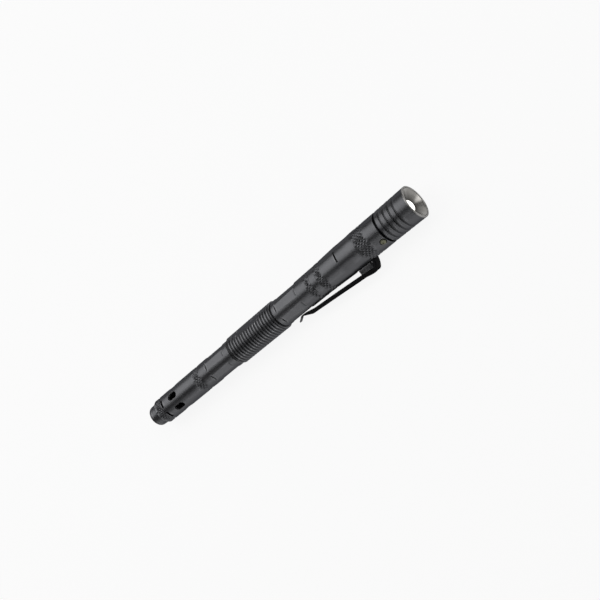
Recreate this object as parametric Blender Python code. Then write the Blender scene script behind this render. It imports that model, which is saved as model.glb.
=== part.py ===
"""Tactical pen flashlight: a screw cap over a ballpoint, a ribbed grip, a battery tube with a
pocket clip and a side button, and a screwed head with an LED behind a domed lens.

The pen lies along +X, with its tail face at the origin, and its stations are lengths along +X.
Angles about the pen start at its upper line, and the clip is a quarter turn from that line.
The whole pen is rolled about +X until it lies on its head, its grip and the corner of its clip.
"""
import math

import bmesh
import bpy
from mathutils import Matrix, Vector

# Clearances
FIT = 0.0003
WELD = 0.0000005
OVERCUT = 0.0010

# Roundness of the turned pieces
SHELL_SIDES = 36
INNER_SIDES = 24
SMALL_SIDES = 12

# Where things stand round the pen, in degrees
REST_ROLL = 25.4
CLIP_ANGLE = -90.0
BUTTON_ANGLE = -35.0
LABEL_ANGLE = 62.0
FLAT_COUNT = 6

# Flats milled along the shells
FLAT_DEPTH = 0.00024
FLAT_CUTTER_WIDTH = 0.0042

# Tail plug
PLUG_RADIUS = 0.00468
PLUG_DISC_LENGTH = 0.0021
PLUG_EDGE = 0.0003
PLUG_LIP = 0.00068
PLUG_SPIGOT_LENGTH = 0.0060

# Cap
CAP_LENGTH = 0.0523
CAP_BORE_RADIUS = 0.00475
CAP_TAIL_WALL = 0.00083
CAP_MIDDLE_WALL = 0.00095
CAP_MOUTH_WALL = 0.00105
CAP_REAR_STEP = 0.00007
CAP_SHOULDER_LENGTH = 0.00345
CAP_EDGE = 0.00025
VENT_OFFSET = 0.01485
VENT_LENGTH = 0.0054
VENT_WIDTH = 0.0030
VENT_CORNER_STEPS = 5
TAIL_NOTCH_OFFSET = 0.0075
NOTCH_LENGTH = 0.0006
NOTCH_DEPTH = 0.00034
CAP_FLAT_START = 0.0378
CAP_FLAT_LENGTH = 0.0117

# Writing end
POINT_CLEARANCE = 0.0034
NIB_CONE_LENGTH = 0.0150
NIB_MOUTH_WALL = 0.0006
NIB_SPIGOT_LENGTH = 0.0095
REFILL_RADIUS = 0.001175
REFILL_TIP_LENGTH = 0.0095
REFILL_POINT_LENGTH = 0.0030
REFILL_POINT_RADIUS = 0.0006
REFILL_BALL_RADIUS = 0.00035
REFILL_PROTRUSION = 0.0025
REFILL_AIR_DEPTH = 0.0060
REFILL_WALL = 0.0004
REFILL_SEAT_DEPTH = 0.0041

# Rings of rubber
RING_SECTION = 0.00025
RING_STRETCH = 0.00005
RING_GROOVE_WIDTH = 0.0011
CAP_RING_OFFSET = 0.0032
NECK_RING_OFFSET = 0.0024

# Ribbed grip
GRIP_LENGTH = 0.0274
GRIP_TAIL_WALL = 0.00165
GRIP_HEAD_WALL = 0.00185
GRIP_EDGE = 0.0005
RIB_COUNT = 18
RIB_FIRST = 0.0009
RIB_LAST = 0.0007
RIB_GROOVE_WIDTH = 0.00078
RIB_GROOVE_DEPTH = 0.00045
LABEL_START = 0.0041
LABEL_LENGTH = 0.0170
LABEL_DEPTH = 0.00055
LABEL_CUTTER_WIDTH = 0.0064

# Battery and what holds it
BATTERY_RADIUS = 0.00415
BATTERY_LENGTH = 0.0425
BATTERY_CAP_RADIUS = 0.0014
BATTERY_CAP_LENGTH = 0.0010
BATTERY_EDGE = 0.0003
COUPLING_STEP = 0.00015
COUPLING_IN_GRIP = 0.0077
COUPLING_IN_BODY = 0.0083
SPRING_SEAT_DEPTH = 0.0007
BATTERY_SPRING_LENGTH = 0.0044
BATTERY_SPRING_RADIUS = 0.0028
BATTERY_SPRING_WIRE = 0.00025
BATTERY_SPRING_TURNS = 4
SPRING_POINTS = 10
CONTACT_THICKNESS = 0.0007
CONTACT_HOLE_RADIUS = 0.0008

# Body tube, its walls counted from the battery's bore and its stations from its two ends
BODY_TAIL_WALL = 0.0015
BODY_WAIST_WALL = 0.00175
BODY_MIDDLE_WALL = 0.00195
BODY_SWELL_WALL = 0.00245
BODY_SADDLE_WALL = 0.00233
BODY_HEAD_WALL = 0.0026
BODY_WAIST_STATION = 0.0173
BODY_MIDDLE_FROM_END = 0.0333
BODY_SWELL_FROM_END = 0.0218
BODY_SADDLE_FROM_END = 0.0205
BODY_SADDLE_LENGTH = 0.0045
BODY_COLLAR_FROM_END = 0.0133
BODY_FLAT_START = 0.0022
BODY_FLAT_LENGTH = 0.0128
BODY_EDGE = 0.0002
SWITCH_BAY_LENGTH = 0.0045
NECK_STEP = 0.00115
PARTING_GAP = 0.0010

# Clip, its stations counted back from its foot, its heights from the barrel under it
CLIP_FOOT_FROM_END = 0.0109
CLIP_FOOT_DEPTH = 0.0007
CLIP_FOOT_LENGTH = 0.0011
CLIP_POCKET_DEPTH = 0.0011
CLIP_WIDTH = 0.0050
CLIP_TIP_WIDTH = 0.0030
CLIP_LEAN = 0.0018
CLIP_HEIGHT = 0.00415
CLIP_ROOT_LENGTH = 0.0052
CLIP_ROOT_THICKNESS = 0.0017
CLIP_RAMP_LENGTH = 0.0029
CLIP_RAMP_DROP = 0.00105
CLIP_ARM_THICKNESS = 0.0013
CLIP_KINK_BACK = 0.0369
CLIP_KINK_HEIGHT = 0.00225
CLIP_TOUCH_BACK = 0.0416
CLIP_TIP_BACK = 0.0445
CLIP_TIP_THICKNESS = 0.0005
CLIP_TIP_RISE = 0.0014
CLIP_EDGE = 0.00015

# Block that the clip is held by, and its screw
BLOCK_GAP = 0.0013
BLOCK_LENGTH = 0.0070
BLOCK_WIDTH = 0.0044
BLOCK_HEIGHT = 0.0022
BLOCK_EDGE = 0.0002
SCREW_BACK = 0.0034
SCREW_HEAD_RADIUS = 0.0013
SCREW_HEAD_HEIGHT = 0.0007
SCREW_SHANK_RADIUS = 0.0007
SCREW_DEPTH = 0.0010
SCREW_SOCKET_RADIUS = 0.0006
SCREW_SOCKET_DEPTH = 0.0004
SCREW_ACCESS_RADIUS = 0.0016

# Side button and what it presses
BUTTON_FROM_END = 0.0017
BUTTON_RADIUS = 0.0012
BUTTON_PROUD = 0.0003
BUTTON_EDGE = 0.0002
BUTTON_FLANGE_RADIUS = 0.0017
BUTTON_FLANGE_THICKNESS = 0.0005
BUTTON_TRAVEL = 0.0003
SWITCH_SIDE = 0.0030
SWITCH_HEIGHT = 0.0013
SWITCH_TOP_HEIGHT = 0.0003
SWITCH_TOP_INSET = 0.0007
BOARD_THICKNESS = 0.0008
BOARD_MARGIN = 0.0021

# Head, its stations counted back from its rim
HEAD_LENGTH = 0.0157
HEAD_FLARE = 0.00025
HEAD_EDGE = 0.00015
HEAD_GROOVE_COUNT = 4
HEAD_GROOVE_FIRST = 0.00205
HEAD_GROOVE_PITCH = 0.00255
HEAD_GROOVE_WIDTH = 0.00078
HEAD_GROOVE_DEPTH = 0.00038
HEAD_LIP = 0.0007
HEAD_THREAD_STEP = 0.0007
RETAINER_RECESS = 0.0003
RETAINER_LENGTH = 0.0043
RETAINER_LIP = 0.00025
CONE_DEPTH = 0.0023
APERTURE_LAND = 0.0011
LENS_RADIUS = 0.0042
LENS_FLANGE_LENGTH = 0.0014
LENS_DOME_RADIUS = 0.0026
LENS_DOME_HEIGHT = 0.0010
LENS_DOME_STEPS = 5
LENS_POCKET_RADIUS = 0.0019
LENS_POCKET_DEPTH = 0.0007
SEAL_SECTION = 0.00045
LED_BOARD_THICKNESS = 0.0008
LED_BOARD_MARGIN = 0.0004
LED_ROOM = 0.0015
LED_SIDE = 0.0020
LED_BASE_HEIGHT = 0.0004
LED_DOME_STEPS = 3
LED_DOME_INSET = 0.0002
LED_DOME_RISE = 0.0002
SINK_LENGTH = 0.0024
SINK_RECESS_RADIUS = 0.0022
SINK_RECESS_DEPTH = 0.0006
CONTACT_SPRING_LENGTH = 0.0027
CONTACT_SPRING_RADIUS = 0.0016
CONTACT_SPRING_WIRE = 0.00025
CONTACT_SPRING_TURNS = 2

# Stations that follow, from the tail to the head
CAP_START = PLUG_DISC_LENGTH + FIT
CAP_END = CAP_START + CAP_LENGTH
GRIP_START = CAP_END + FIT
GRIP_END = GRIP_START + GRIP_LENGTH
BODY_START = GRIP_END + FIT
COUPLING_START = GRIP_END - COUPLING_IN_GRIP
COUPLING_END = BODY_START + COUPLING_IN_BODY
SPRING_START = COUPLING_END - SPRING_SEAT_DEPTH + FIT
BATTERY_START = SPRING_START + BATTERY_SPRING_LENGTH + FIT
BATTERY_END = BATTERY_START + BATTERY_LENGTH
CONTACT_END = BATTERY_END + FIT + CONTACT_THICKNESS
BODY_END = CONTACT_END + SWITCH_BAY_LENGTH
HEAD_START = BODY_END + PARTING_GAP
HEAD_END = HEAD_START + HEAD_LENGTH
RETAINER_END = HEAD_END - RETAINER_RECESS
RETAINER_START = RETAINER_END - RETAINER_LENGTH
APERTURE = RETAINER_END - CONE_DEPTH
LENS_END = APERTURE - APERTURE_LAND - FIT
LENS_START = LENS_END - LENS_FLANGE_LENGTH
LED_BOARD_END = LENS_START - LED_ROOM
LED_BOARD_START = LED_BOARD_END - LED_BOARD_THICKNESS
SINK_END = LED_BOARD_START - FIT
SINK_START = SINK_END - SINK_LENGTH
NECK_END = SINK_START - 2 * FIT
BOARD_START = CONTACT_END + FIT
BOARD_END = NECK_END - BOARD_MARGIN
PLUG_END = PLUG_DISC_LENGTH + PLUG_SPIGOT_LENGTH
REFILL_START = PLUG_END + POINT_CLEARANCE
NIB_START = REFILL_START + REFILL_PROTRUSION
REFILL_END = COUPLING_START + REFILL_SEAT_DEPTH - FIT

# Radii that follow, from the bores outwards
NIB_RADIUS = CAP_BORE_RADIUS - FIT
GRIP_SOCKET_RADIUS = NIB_RADIUS + FIT
GRIP_TAIL_RADIUS = GRIP_SOCKET_RADIUS + GRIP_TAIL_WALL
GRIP_HEAD_RADIUS = GRIP_SOCKET_RADIUS + GRIP_HEAD_WALL
BATTERY_BORE_RADIUS = BATTERY_RADIUS + FIT
COUPLING_RADIUS = BATTERY_BORE_RADIUS + COUPLING_STEP
COUPLING_SOCKET_RADIUS = COUPLING_RADIUS + FIT
BODY_TAIL_RADIUS = BATTERY_BORE_RADIUS + BODY_TAIL_WALL
BODY_WAIST_RADIUS = BATTERY_BORE_RADIUS + BODY_WAIST_WALL
BODY_MIDDLE_RADIUS = BATTERY_BORE_RADIUS + BODY_MIDDLE_WALL
BODY_SWELL_RADIUS = BATTERY_BORE_RADIUS + BODY_SWELL_WALL
BODY_SADDLE_RADIUS = BATTERY_BORE_RADIUS + BODY_SADDLE_WALL
BODY_HEAD_RADIUS = BATTERY_BORE_RADIUS + BODY_HEAD_WALL
BAY_RADIUS = BATTERY_BORE_RADIUS + FIT
NECK_RADIUS = BODY_HEAD_RADIUS - NECK_STEP
SKIRT_BORE_RADIUS = NECK_RADIUS + FIT
SINK_BORE_RADIUS = SKIRT_BORE_RADIUS - HEAD_THREAD_STEP
SINK_RADIUS = SINK_BORE_RADIUS - FIT
RIM_RADIUS = BODY_HEAD_RADIUS + HEAD_FLARE
MOUTH_RADIUS = RIM_RADIUS - HEAD_LIP
RETAINER_RADIUS = MOUTH_RADIUS - FIT
APERTURE_RADIUS = LENS_DOME_RADIUS + FIT

# Colours, each a name, its base colour, its metallic value and its roughness
GUNMETAL = ("gunmetal", (0.075, 0.077, 0.082), 0.85, 0.42)
BLACK_STEEL = ("black_steel", (0.012, 0.012, 0.013), 0.70, 0.38)
SATIN_METAL = ("satin_metal", (0.42, 0.41, 0.39), 1.00, 0.32)
OLIVE_METAL = ("olive_metal", (0.16, 0.15, 0.085), 0.80, 0.40)
PLAIN_STEEL = ("plain_steel", (0.55, 0.55, 0.56), 1.00, 0.30)
BRASS = ("brass", (0.70, 0.52, 0.22), 1.00, 0.30)
RUBBER = ("rubber", (0.015, 0.015, 0.016), 0.00, 0.65)
CLEAR_PLASTIC = ("clear_plastic", (0.90, 0.92, 0.90), 0.00, 0.08)
CELL_LABEL = ("cell_label", (0.60, 0.60, 0.62), 0.30, 0.45)
BOARD_GREEN = ("board_green", (0.02, 0.12, 0.05), 0.00, 0.50)
BOARD_WHITE = ("board_white", (0.75, 0.76, 0.74), 0.20, 0.45)
SWITCH_BLACK = ("switch_black", (0.02, 0.02, 0.02), 0.00, 0.45)
PHOSPHOR = ("phosphor", (0.85, 0.75, 0.25), 0.00, 0.40)
INK_TUBE = ("ink_tube", (0.04, 0.05, 0.16), 0.00, 0.35)


def clear_scene():
    for old in list(bpy.data.objects):
        bpy.data.objects.remove(old, do_unlink=True)


def finish_named(finish):
    """Material of one finish, made the first time that it is asked for."""
    name, colour, metallic, roughness = finish
    material = bpy.data.materials.get(name)
    if material is None:
        material = bpy.data.materials.new(name)
        material.use_nodes = True
        shader = material.node_tree.nodes["Principled BSDF"]
        shader.inputs["Base Color"].default_value = (*colour, 1.0)
        shader.inputs["Metallic"].default_value = metallic
        shader.inputs["Roughness"].default_value = roughness
        material.diffuse_color = (*colour, 1.0)
    return material


def holder(name, parent, place=(0.0, 0.0, 0.0)):
    """Empty that carries the pieces of one moving body, with its joint's axis through it."""
    empty = bpy.data.objects.new(name, None)
    empty.parent = parent
    empty.location = place
    bpy.context.scene.collection.objects.link(empty)
    return empty


def outwards(angle):
    """Unit vector that points away from the pen's axis at an angle about it."""
    turn = math.radians(angle)
    return Vector((0.0, math.sin(turn), math.cos(turn)))


def radial_frame(angle, station=0.0):
    """Matrix whose Z points outwards at an angle, and whose X runs along the pen."""
    out = outwards(angle)
    along = Vector((1.0, 0.0, 0.0))
    across = out.cross(along)
    turn = Matrix((along, across, out)).transposed().to_4x4()
    return Matrix.Translation((station, 0.0, 0.0)) @ turn


def place_shape(name, shape, parent, finish, smooth=35.0):
    """Object made of a bmesh, its faces turned outwards and its round faces shaded smooth."""
    bmesh.ops.recalc_face_normals(shape, faces=shape.faces)
    mesh = bpy.data.meshes.new(name)
    shape.to_mesh(mesh)
    shape.free()
    mesh.shade_smooth()
    mesh.set_sharp_from_angle(angle=math.radians(smooth))
    piece = bpy.data.objects.new(name, mesh)
    piece.parent = parent
    mesh.materials.append(finish_named(finish))
    bpy.context.scene.collection.objects.link(piece)
    return piece


def turned_shape(outline, sides):
    """Solid of revolution about the pen's axis, from (station, radius) points round its section.

    An outline that starts and ends on the axis makes a solid, and any other makes a ring."""
    shape = bmesh.new()
    points = [shape.verts.new((station, 0.0, radius)) for station, radius in outline]
    solid = outline[0][1] == 0.0 and outline[-1][1] == 0.0
    pairs = list(zip(points, points[1:]))
    if not solid:
        pairs.append((points[-1], points[0]))
    edges = [shape.edges.new(pair) for pair in pairs]
    bmesh.ops.spin(shape, geom=points + edges, cent=(0.0, 0.0, 0.0), axis=(1.0, 0.0, 0.0),
                   angle=2.0 * math.pi, steps=sides, use_merge=True)
    bmesh.ops.remove_doubles(shape, verts=shape.verts, dist=WELD)
    return shape


def turned(name, outline, sides, parent, finish):
    return place_shape(name, turned_shape(outline, sides), parent, finish)


def ring_shape(station, radius, section, sides=INNER_SIDES, section_sides=8):
    """Rubber ring: a round section turned about the pen's axis."""
    steps = [2.0 * math.pi * step / section_sides for step in range(section_sides)]
    outline = [(station + section * math.sin(a), radius + section * math.cos(a)) for a in steps]
    return turned_shape(outline, sides)


def prism(shape, outline, low, high, frame):
    """Adds a prism to a shape: an outline in a frame's X and Y, from low to high along its Z."""
    lower = [shape.verts.new(frame @ Vector((x, y, low))) for x, y in outline]
    upper = [shape.verts.new(frame @ Vector((x, y, high))) for x, y in outline]
    shape.faces.new(lower[::-1])
    shape.faces.new(upper)
    for here in range(len(outline)):
        after = (here + 1) % len(outline)
        shape.faces.new((lower[here], lower[after], upper[after], upper[here]))


def rectangle(start, end, width):
    half = width / 2.0
    return [(start, -half), (end, -half), (end, half), (start, half)]


def circle(radius, sides):
    steps = [2.0 * math.pi * (step + 0.5) / sides for step in range(sides)]
    return [(radius * math.cos(a), radius * math.sin(a)) for a in steps]


def stadium(length, width, steps):
    """Slot outline with round ends, its length along X."""
    radius = width / 2.0
    reach = length / 2.0 - radius
    outline = []
    for side in (1.0, -1.0):
        for step in range(steps + 1):
            a = math.pi * step / steps - math.pi / 2.0
            outline.append((side * (reach + radius * math.cos(a)), side * radius * math.sin(a)))
    return outline


def cut(piece, name, shape):
    """Takes a cutter's shape out of a piece with a Boolean, and leaves the cutter as a guide."""
    bmesh.ops.recalc_face_normals(shape, faces=shape.faces)
    mesh = bpy.data.meshes.new(name)
    shape.to_mesh(mesh)
    shape.free()
    cutter = bpy.data.objects.new(name, mesh)
    cutter.parent = piece.parent
    cutter.hide_render = True
    cutter.display_type = 'WIRE'
    bpy.context.scene.collection.objects.link(cutter)
    cutting = piece.modifiers.new(name, 'BOOLEAN')
    cutting.operation = 'DIFFERENCE'
    cutting.solver = 'EXACT'
    cutting.object = cutter


def flat_angles():
    """Angles of the six milled sides, one of them under the clip."""
    return [CLIP_ANGLE + 360.0 * side / FLAT_COUNT for side in range(FLAT_COUNT)]


def flats_shape(start, end, floor, top):
    """Six bars that mill flat sides from one station to another, down to a height."""
    shape = bmesh.new()
    for angle in flat_angles():
        bar = rectangle(start, end, FLAT_CUTTER_WIDTH)
        prism(shape, bar, floor, top + OVERCUT, radial_frame(angle))
    return shape


def grooved(start, first, pitch, count, width, depth, radius_at):
    """Points of turned V grooves along a shell, from its tail end to its head end."""
    points = []
    for groove in range(count):
        centre = start + first + groove * pitch
        radius = radius_at(centre)
        points += [(centre - width / 2.0, radius), (centre, radius - depth),
                   (centre + width / 2.0, radius)]
    return points


def straight_between(start, start_value, end, end_value):
    """Function that runs straight from one value to another between two stations."""
    return lambda place: start_value + (end_value - start_value) * (place - start) / (end - start)


def coil(name, start, length, radius, wire, turns, parent, finish):
    """Coil spring along the pen, wound from wire, its ends wire-thickness inside its length."""
    path = bpy.data.curves.new(name, 'CURVE')
    path.dimensions = '3D'
    path.bevel_depth = wire
    path.bevel_resolution = 1
    path.use_fill_caps = True
    line = path.splines.new('POLY')
    steps = turns * SPRING_POINTS
    line.points.add(steps)
    for step in range(steps + 1):
        a = 2.0 * math.pi * step / SPRING_POINTS
        station = start + wire + (length - 2.0 * wire) * step / steps
        line.points[step].co = (station, radius * math.sin(a), radius * math.cos(a), 1.0)
    spring = bpy.data.objects.new(name, path)
    spring.parent = parent
    path.materials.append(finish_named(finish))
    bpy.context.scene.collection.objects.link(spring)
    pitch = (length - 2.0 * wire) / turns
    print(name, "least gap between its turns", round((pitch - 2.0 * wire) * 1000.0, 2), "mm")


def make_tail_plug(parent):
    spigot = PLUG_RADIUS - PLUG_LIP
    outline = [(0.0, 0.0), (0.0, PLUG_RADIUS - PLUG_EDGE), (PLUG_EDGE, PLUG_RADIUS),
               (PLUG_DISC_LENGTH, PLUG_RADIUS), (PLUG_DISC_LENGTH, spigot),
               (PLUG_END, spigot), (PLUG_END, 0.0)]
    turned("tail_plug", outline, INNER_SIDES, parent, GUNMETAL)


def make_cap(parent):
    """Cap tube: a plug bore, a tapered shoulder, six notches and vents, and flats at its mouth."""
    plug_bore = PLUG_RADIUS - PLUG_LIP + FIT
    plug_depth = PLUG_END + FIT
    shoulder = CAP_START + CAP_SHOULDER_LENGTH
    tail_radius = CAP_BORE_RADIUS + CAP_TAIL_WALL
    middle_radius = CAP_BORE_RADIUS + CAP_MIDDLE_WALL
    mouth_radius = CAP_BORE_RADIUS + CAP_MOUTH_WALL
    flat_start = CAP_START + CAP_FLAT_START
    outline = [(CAP_START, plug_bore), (CAP_START, PLUG_RADIUS + CAP_REAR_STEP),
               (shoulder, tail_radius), (flat_start - CAP_EDGE, middle_radius),
               (CAP_END - CAP_EDGE, mouth_radius), (CAP_END, mouth_radius - CAP_EDGE),
               (CAP_END, CAP_BORE_RADIUS), (plug_depth, CAP_BORE_RADIUS),
               (plug_depth, plug_bore)]
    cap = turned("cap_barrel", outline, SHELL_SIDES, parent, GUNMETAL)
    notch = CAP_START + TAIL_NOTCH_OFFSET
    cut(cap, "cap_tail_notches", flats_shape(notch, notch + NOTCH_LENGTH,
                                             tail_radius - NOTCH_DEPTH, tail_radius))
    cut(cap, "cap_mouth_flats", flats_shape(flat_start, flat_start + CAP_FLAT_LENGTH,
                                            middle_radius - FLAT_DEPTH, mouth_radius))
    vents = bmesh.new()
    slot = stadium(VENT_LENGTH, VENT_WIDTH, VENT_CORNER_STEPS)
    for angle in flat_angles():
        prism(vents, slot, CAP_BORE_RADIUS - OVERCUT, middle_radius + OVERCUT,
              radial_frame(angle, CAP_START + VENT_OFFSET))
    cut(cap, "cap_vents", vents)


def refill_radius_at(station):
    """Outer radius of the refill's metal tip, behind its fine point."""
    point_end = REFILL_START + REFILL_POINT_LENGTH
    tip_end = REFILL_START + REFILL_TIP_LENGTH
    return straight_between(point_end, REFILL_POINT_RADIUS, tip_end, REFILL_RADIUS)(station)


def make_writing_end(parent):
    """Nib section screwed into the grip, and the refill that reaches through both."""
    mouth_end = NIB_START + REFILL_POINT_LENGTH
    mouth = refill_radius_at(mouth_end) + FIT
    bore = REFILL_RADIUS + FIT
    cone_end = NIB_START + NIB_CONE_LENGTH
    ring = GRIP_START - CAP_RING_OFFSET
    half = RING_GROOVE_WIDTH / 2.0
    groove = NIB_RADIUS - 2.0 * RING_SECTION
    outline = [(NIB_START, mouth), (NIB_START, mouth + NIB_MOUTH_WALL), (cone_end, NIB_RADIUS),
               (ring - half, NIB_RADIUS), (ring - half, groove), (ring + half, groove),
               (ring + half, NIB_RADIUS), (GRIP_START + NIB_SPIGOT_LENGTH, NIB_RADIUS),
               (GRIP_START + NIB_SPIGOT_LENGTH, bore), (mouth_end + FIT, bore),
               (mouth_end, mouth)]
    turned("nib_section", outline, INNER_SIDES, parent, GUNMETAL)
    shape = ring_shape(ring, groove + RING_SECTION + RING_STRETCH + FIT / 3.0, RING_SECTION)
    place_shape("cap_o_ring", shape, parent, RUBBER)

    tip_end = REFILL_START + REFILL_TIP_LENGTH
    tip = [(REFILL_START, 0.0), (REFILL_START, REFILL_BALL_RADIUS),
           (REFILL_START + REFILL_POINT_LENGTH, REFILL_POINT_RADIUS), (tip_end, REFILL_RADIUS),
           (tip_end, 0.0)]
    turned("refill_tip", tip, SMALL_SIDES, parent, BRASS)
    air = REFILL_RADIUS - REFILL_WALL
    tube = [(tip_end + FIT, 0.0), (tip_end + FIT, REFILL_RADIUS), (REFILL_END, REFILL_RADIUS),
            (REFILL_END, air), (REFILL_END - REFILL_AIR_DEPTH, air),
            (REFILL_END - REFILL_AIR_DEPTH, 0.0)]
    turned("refill_tube", tube, SMALL_SIDES, parent, INK_TUBE)


def make_grip(parent):
    """Ribbed grip: a socket for the nib section, a web round the refill, a socket for the coupling."""
    web_start = GRIP_START + NIB_SPIGOT_LENGTH + FIT
    web_end = COUPLING_START - FIT
    web_bore = REFILL_RADIUS + FIT
    first = GRIP_START + GRIP_EDGE
    last = GRIP_END - GRIP_EDGE / 2.0
    radius_at = straight_between(first, GRIP_TAIL_RADIUS, last, GRIP_HEAD_RADIUS)
    pitch = (GRIP_LENGTH - RIB_FIRST - RIB_LAST) / (RIB_COUNT - 1)
    grooves = grooved(GRIP_START, RIB_FIRST, pitch, RIB_COUNT, RIB_GROOVE_WIDTH,
                      RIB_GROOVE_DEPTH, radius_at)
    outline = [(GRIP_START, GRIP_SOCKET_RADIUS), (GRIP_START, GRIP_TAIL_RADIUS - GRIP_EDGE)]
    outline += grooves
    outline += [(last, GRIP_HEAD_RADIUS), (GRIP_END, BODY_TAIL_RADIUS),
                (GRIP_END, COUPLING_SOCKET_RADIUS), (web_end, COUPLING_SOCKET_RADIUS),
                (web_end, web_bore), (web_start, web_bore), (web_start, GRIP_SOCKET_RADIUS)]
    grip = turned("grip_barrel", outline, SHELL_SIDES, parent, GUNMETAL)
    label = bmesh.new()
    start = GRIP_START + LABEL_START
    floor = radius_at(start + LABEL_LENGTH / 2.0) - LABEL_DEPTH
    prism(label, rectangle(start, start + LABEL_LENGTH, LABEL_CUTTER_WIDTH), floor,
          GRIP_HEAD_RADIUS + OVERCUT, radial_frame(LABEL_ANGLE))
    cut(grip, "label_flat", label)


def make_coupling(parent):
    """Threaded plug that joins the grip to the body tube, with a seat for the refill's end."""
    seat = REFILL_RADIUS + FIT
    spring_seat = BATTERY_SPRING_RADIUS + BATTERY_SPRING_WIRE + FIT
    outline = [(COUPLING_START + REFILL_SEAT_DEPTH, 0.0),
               (COUPLING_START + REFILL_SEAT_DEPTH, seat), (COUPLING_START, seat),
               (COUPLING_START, COUPLING_RADIUS), (COUPLING_END, COUPLING_RADIUS),
               (COUPLING_END, spring_seat), (COUPLING_END - SPRING_SEAT_DEPTH, spring_seat),
               (COUPLING_END - SPRING_SEAT_DEPTH, 0.0)]
    turned("coupling_plug", outline, INNER_SIDES, parent, BRASS)


def make_battery(parent):
    can_end = BATTERY_END - BATTERY_CAP_LENGTH
    outline = [(BATTERY_START, 0.0), (BATTERY_START, BATTERY_RADIUS - BATTERY_EDGE),
               (BATTERY_START + BATTERY_EDGE, BATTERY_RADIUS),
               (can_end - BATTERY_EDGE, BATTERY_RADIUS), (can_end, BATTERY_RADIUS - BATTERY_EDGE),
               (can_end, BATTERY_CAP_RADIUS), (BATTERY_END, BATTERY_CAP_RADIUS),
               (BATTERY_END, 0.0)]
    turned("battery_cell", outline, INNER_SIDES, parent, CELL_LABEL)
    coil("battery_spring", SPRING_START, BATTERY_SPRING_LENGTH, BATTERY_SPRING_RADIUS,
         BATTERY_SPRING_WIRE, BATTERY_SPRING_TURNS, parent, PLAIN_STEEL)


def body_outline():
    """Outside of the body tube, from its tail end to its shoulder under the head."""
    saddle_start = BODY_END - BODY_SADDLE_FROM_END
    return [(BODY_START, BODY_TAIL_RADIUS - BODY_EDGE),
            (BODY_START + BODY_EDGE, BODY_TAIL_RADIUS),
            (BODY_START + BODY_FLAT_START, BODY_TAIL_RADIUS),
            (BODY_START + BODY_WAIST_STATION, BODY_WAIST_RADIUS),
            (BODY_END - BODY_MIDDLE_FROM_END, BODY_MIDDLE_RADIUS),
            (BODY_END - BODY_SWELL_FROM_END, BODY_SWELL_RADIUS),
            (saddle_start, BODY_SADDLE_RADIUS),
            (saddle_start + BODY_SADDLE_LENGTH, BODY_SADDLE_RADIUS),
            (BODY_END - BODY_COLLAR_FROM_END, BODY_HEAD_RADIUS),
            (BODY_END - BODY_EDGE, BODY_HEAD_RADIUS), (BODY_END, BODY_HEAD_RADIUS - BODY_EDGE)]


def make_body(parent):
    """Body tube: battery bore, switch bay and threaded neck, with flats and holes."""
    bay_start = BATTERY_END
    ring = BODY_END + NECK_RING_OFFSET
    half = RING_GROOVE_WIDTH / 2.0
    groove = NECK_RADIUS - 2.0 * RING_SECTION
    socket_end = COUPLING_END + FIT
    outline = body_outline()
    outline += [(BODY_END, NECK_RADIUS), (ring - half, NECK_RADIUS), (ring - half, groove),
                (ring + half, groove), (ring + half, NECK_RADIUS), (NECK_END, NECK_RADIUS),
                (NECK_END, BAY_RADIUS), (bay_start, BAY_RADIUS),
                (bay_start, BATTERY_BORE_RADIUS), (socket_end, BATTERY_BORE_RADIUS),
                (socket_end, COUPLING_SOCKET_RADIUS), (BODY_START, COUPLING_SOCKET_RADIUS)]
    body = turned("body_tube", outline, SHELL_SIDES, parent, GUNMETAL)
    shape = ring_shape(ring, groove + RING_SECTION + RING_STRETCH + FIT / 3.0, RING_SECTION)
    place_shape("neck_o_ring", shape, parent, RUBBER)

    start = BODY_START + BODY_FLAT_START
    cut(body, "body_tail_flats", flats_shape(start, start + BODY_FLAT_LENGTH,
                                             BODY_TAIL_RADIUS - FLAT_DEPTH, BODY_MIDDLE_RADIUS))
    seat = bmesh.new()
    prism(seat, rectangle(BODY_END - BODY_SWELL_FROM_END, block_end() + FIT,
                          BLOCK_WIDTH + 2.0 * FIT), block_seat(), BODY_HEAD_RADIUS + OVERCUT,
          radial_frame(CLIP_ANGLE))
    cut(body, "block_flat", seat)

    holes = bmesh.new()
    foot = BODY_END - CLIP_FOOT_FROM_END
    pocket = rectangle(foot - CLIP_FOOT_LENGTH / 2.0 - FIT, foot + CLIP_FOOT_LENGTH / 2.0 + FIT,
                       CLIP_WIDTH + 2.0 * FIT)
    prism(holes, pocket, BODY_HEAD_RADIUS - CLIP_POCKET_DEPTH, BODY_HEAD_RADIUS + OVERCUT,
          radial_frame(CLIP_ANGLE))
    screw_hole = circle(SCREW_SHANK_RADIUS + FIT, SMALL_SIDES)
    prism(holes, screw_hole, block_seat() - SCREW_DEPTH - FIT, block_seat() + OVERCUT,
          radial_frame(CLIP_ANGLE, foot - SCREW_BACK))
    button_hole = circle(BUTTON_RADIUS + FIT, SMALL_SIDES)
    prism(holes, button_hole, BAY_RADIUS - OVERCUT, BODY_HEAD_RADIUS + OVERCUT,
          radial_frame(BUTTON_ANGLE, BODY_END - BUTTON_FROM_END))
    cut(body, "body_holes", holes)


def block_seat():
    """Height of the flat under the clip's block."""
    return BODY_SADDLE_RADIUS - FLAT_DEPTH


def block_top():
    return block_seat() + FIT + BLOCK_HEIGHT


def block_end():
    """Station of the block's end, behind the clip's foot."""
    return BODY_END - CLIP_FOOT_FROM_END - CLIP_FOOT_LENGTH / 2.0 - BLOCK_GAP


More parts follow.
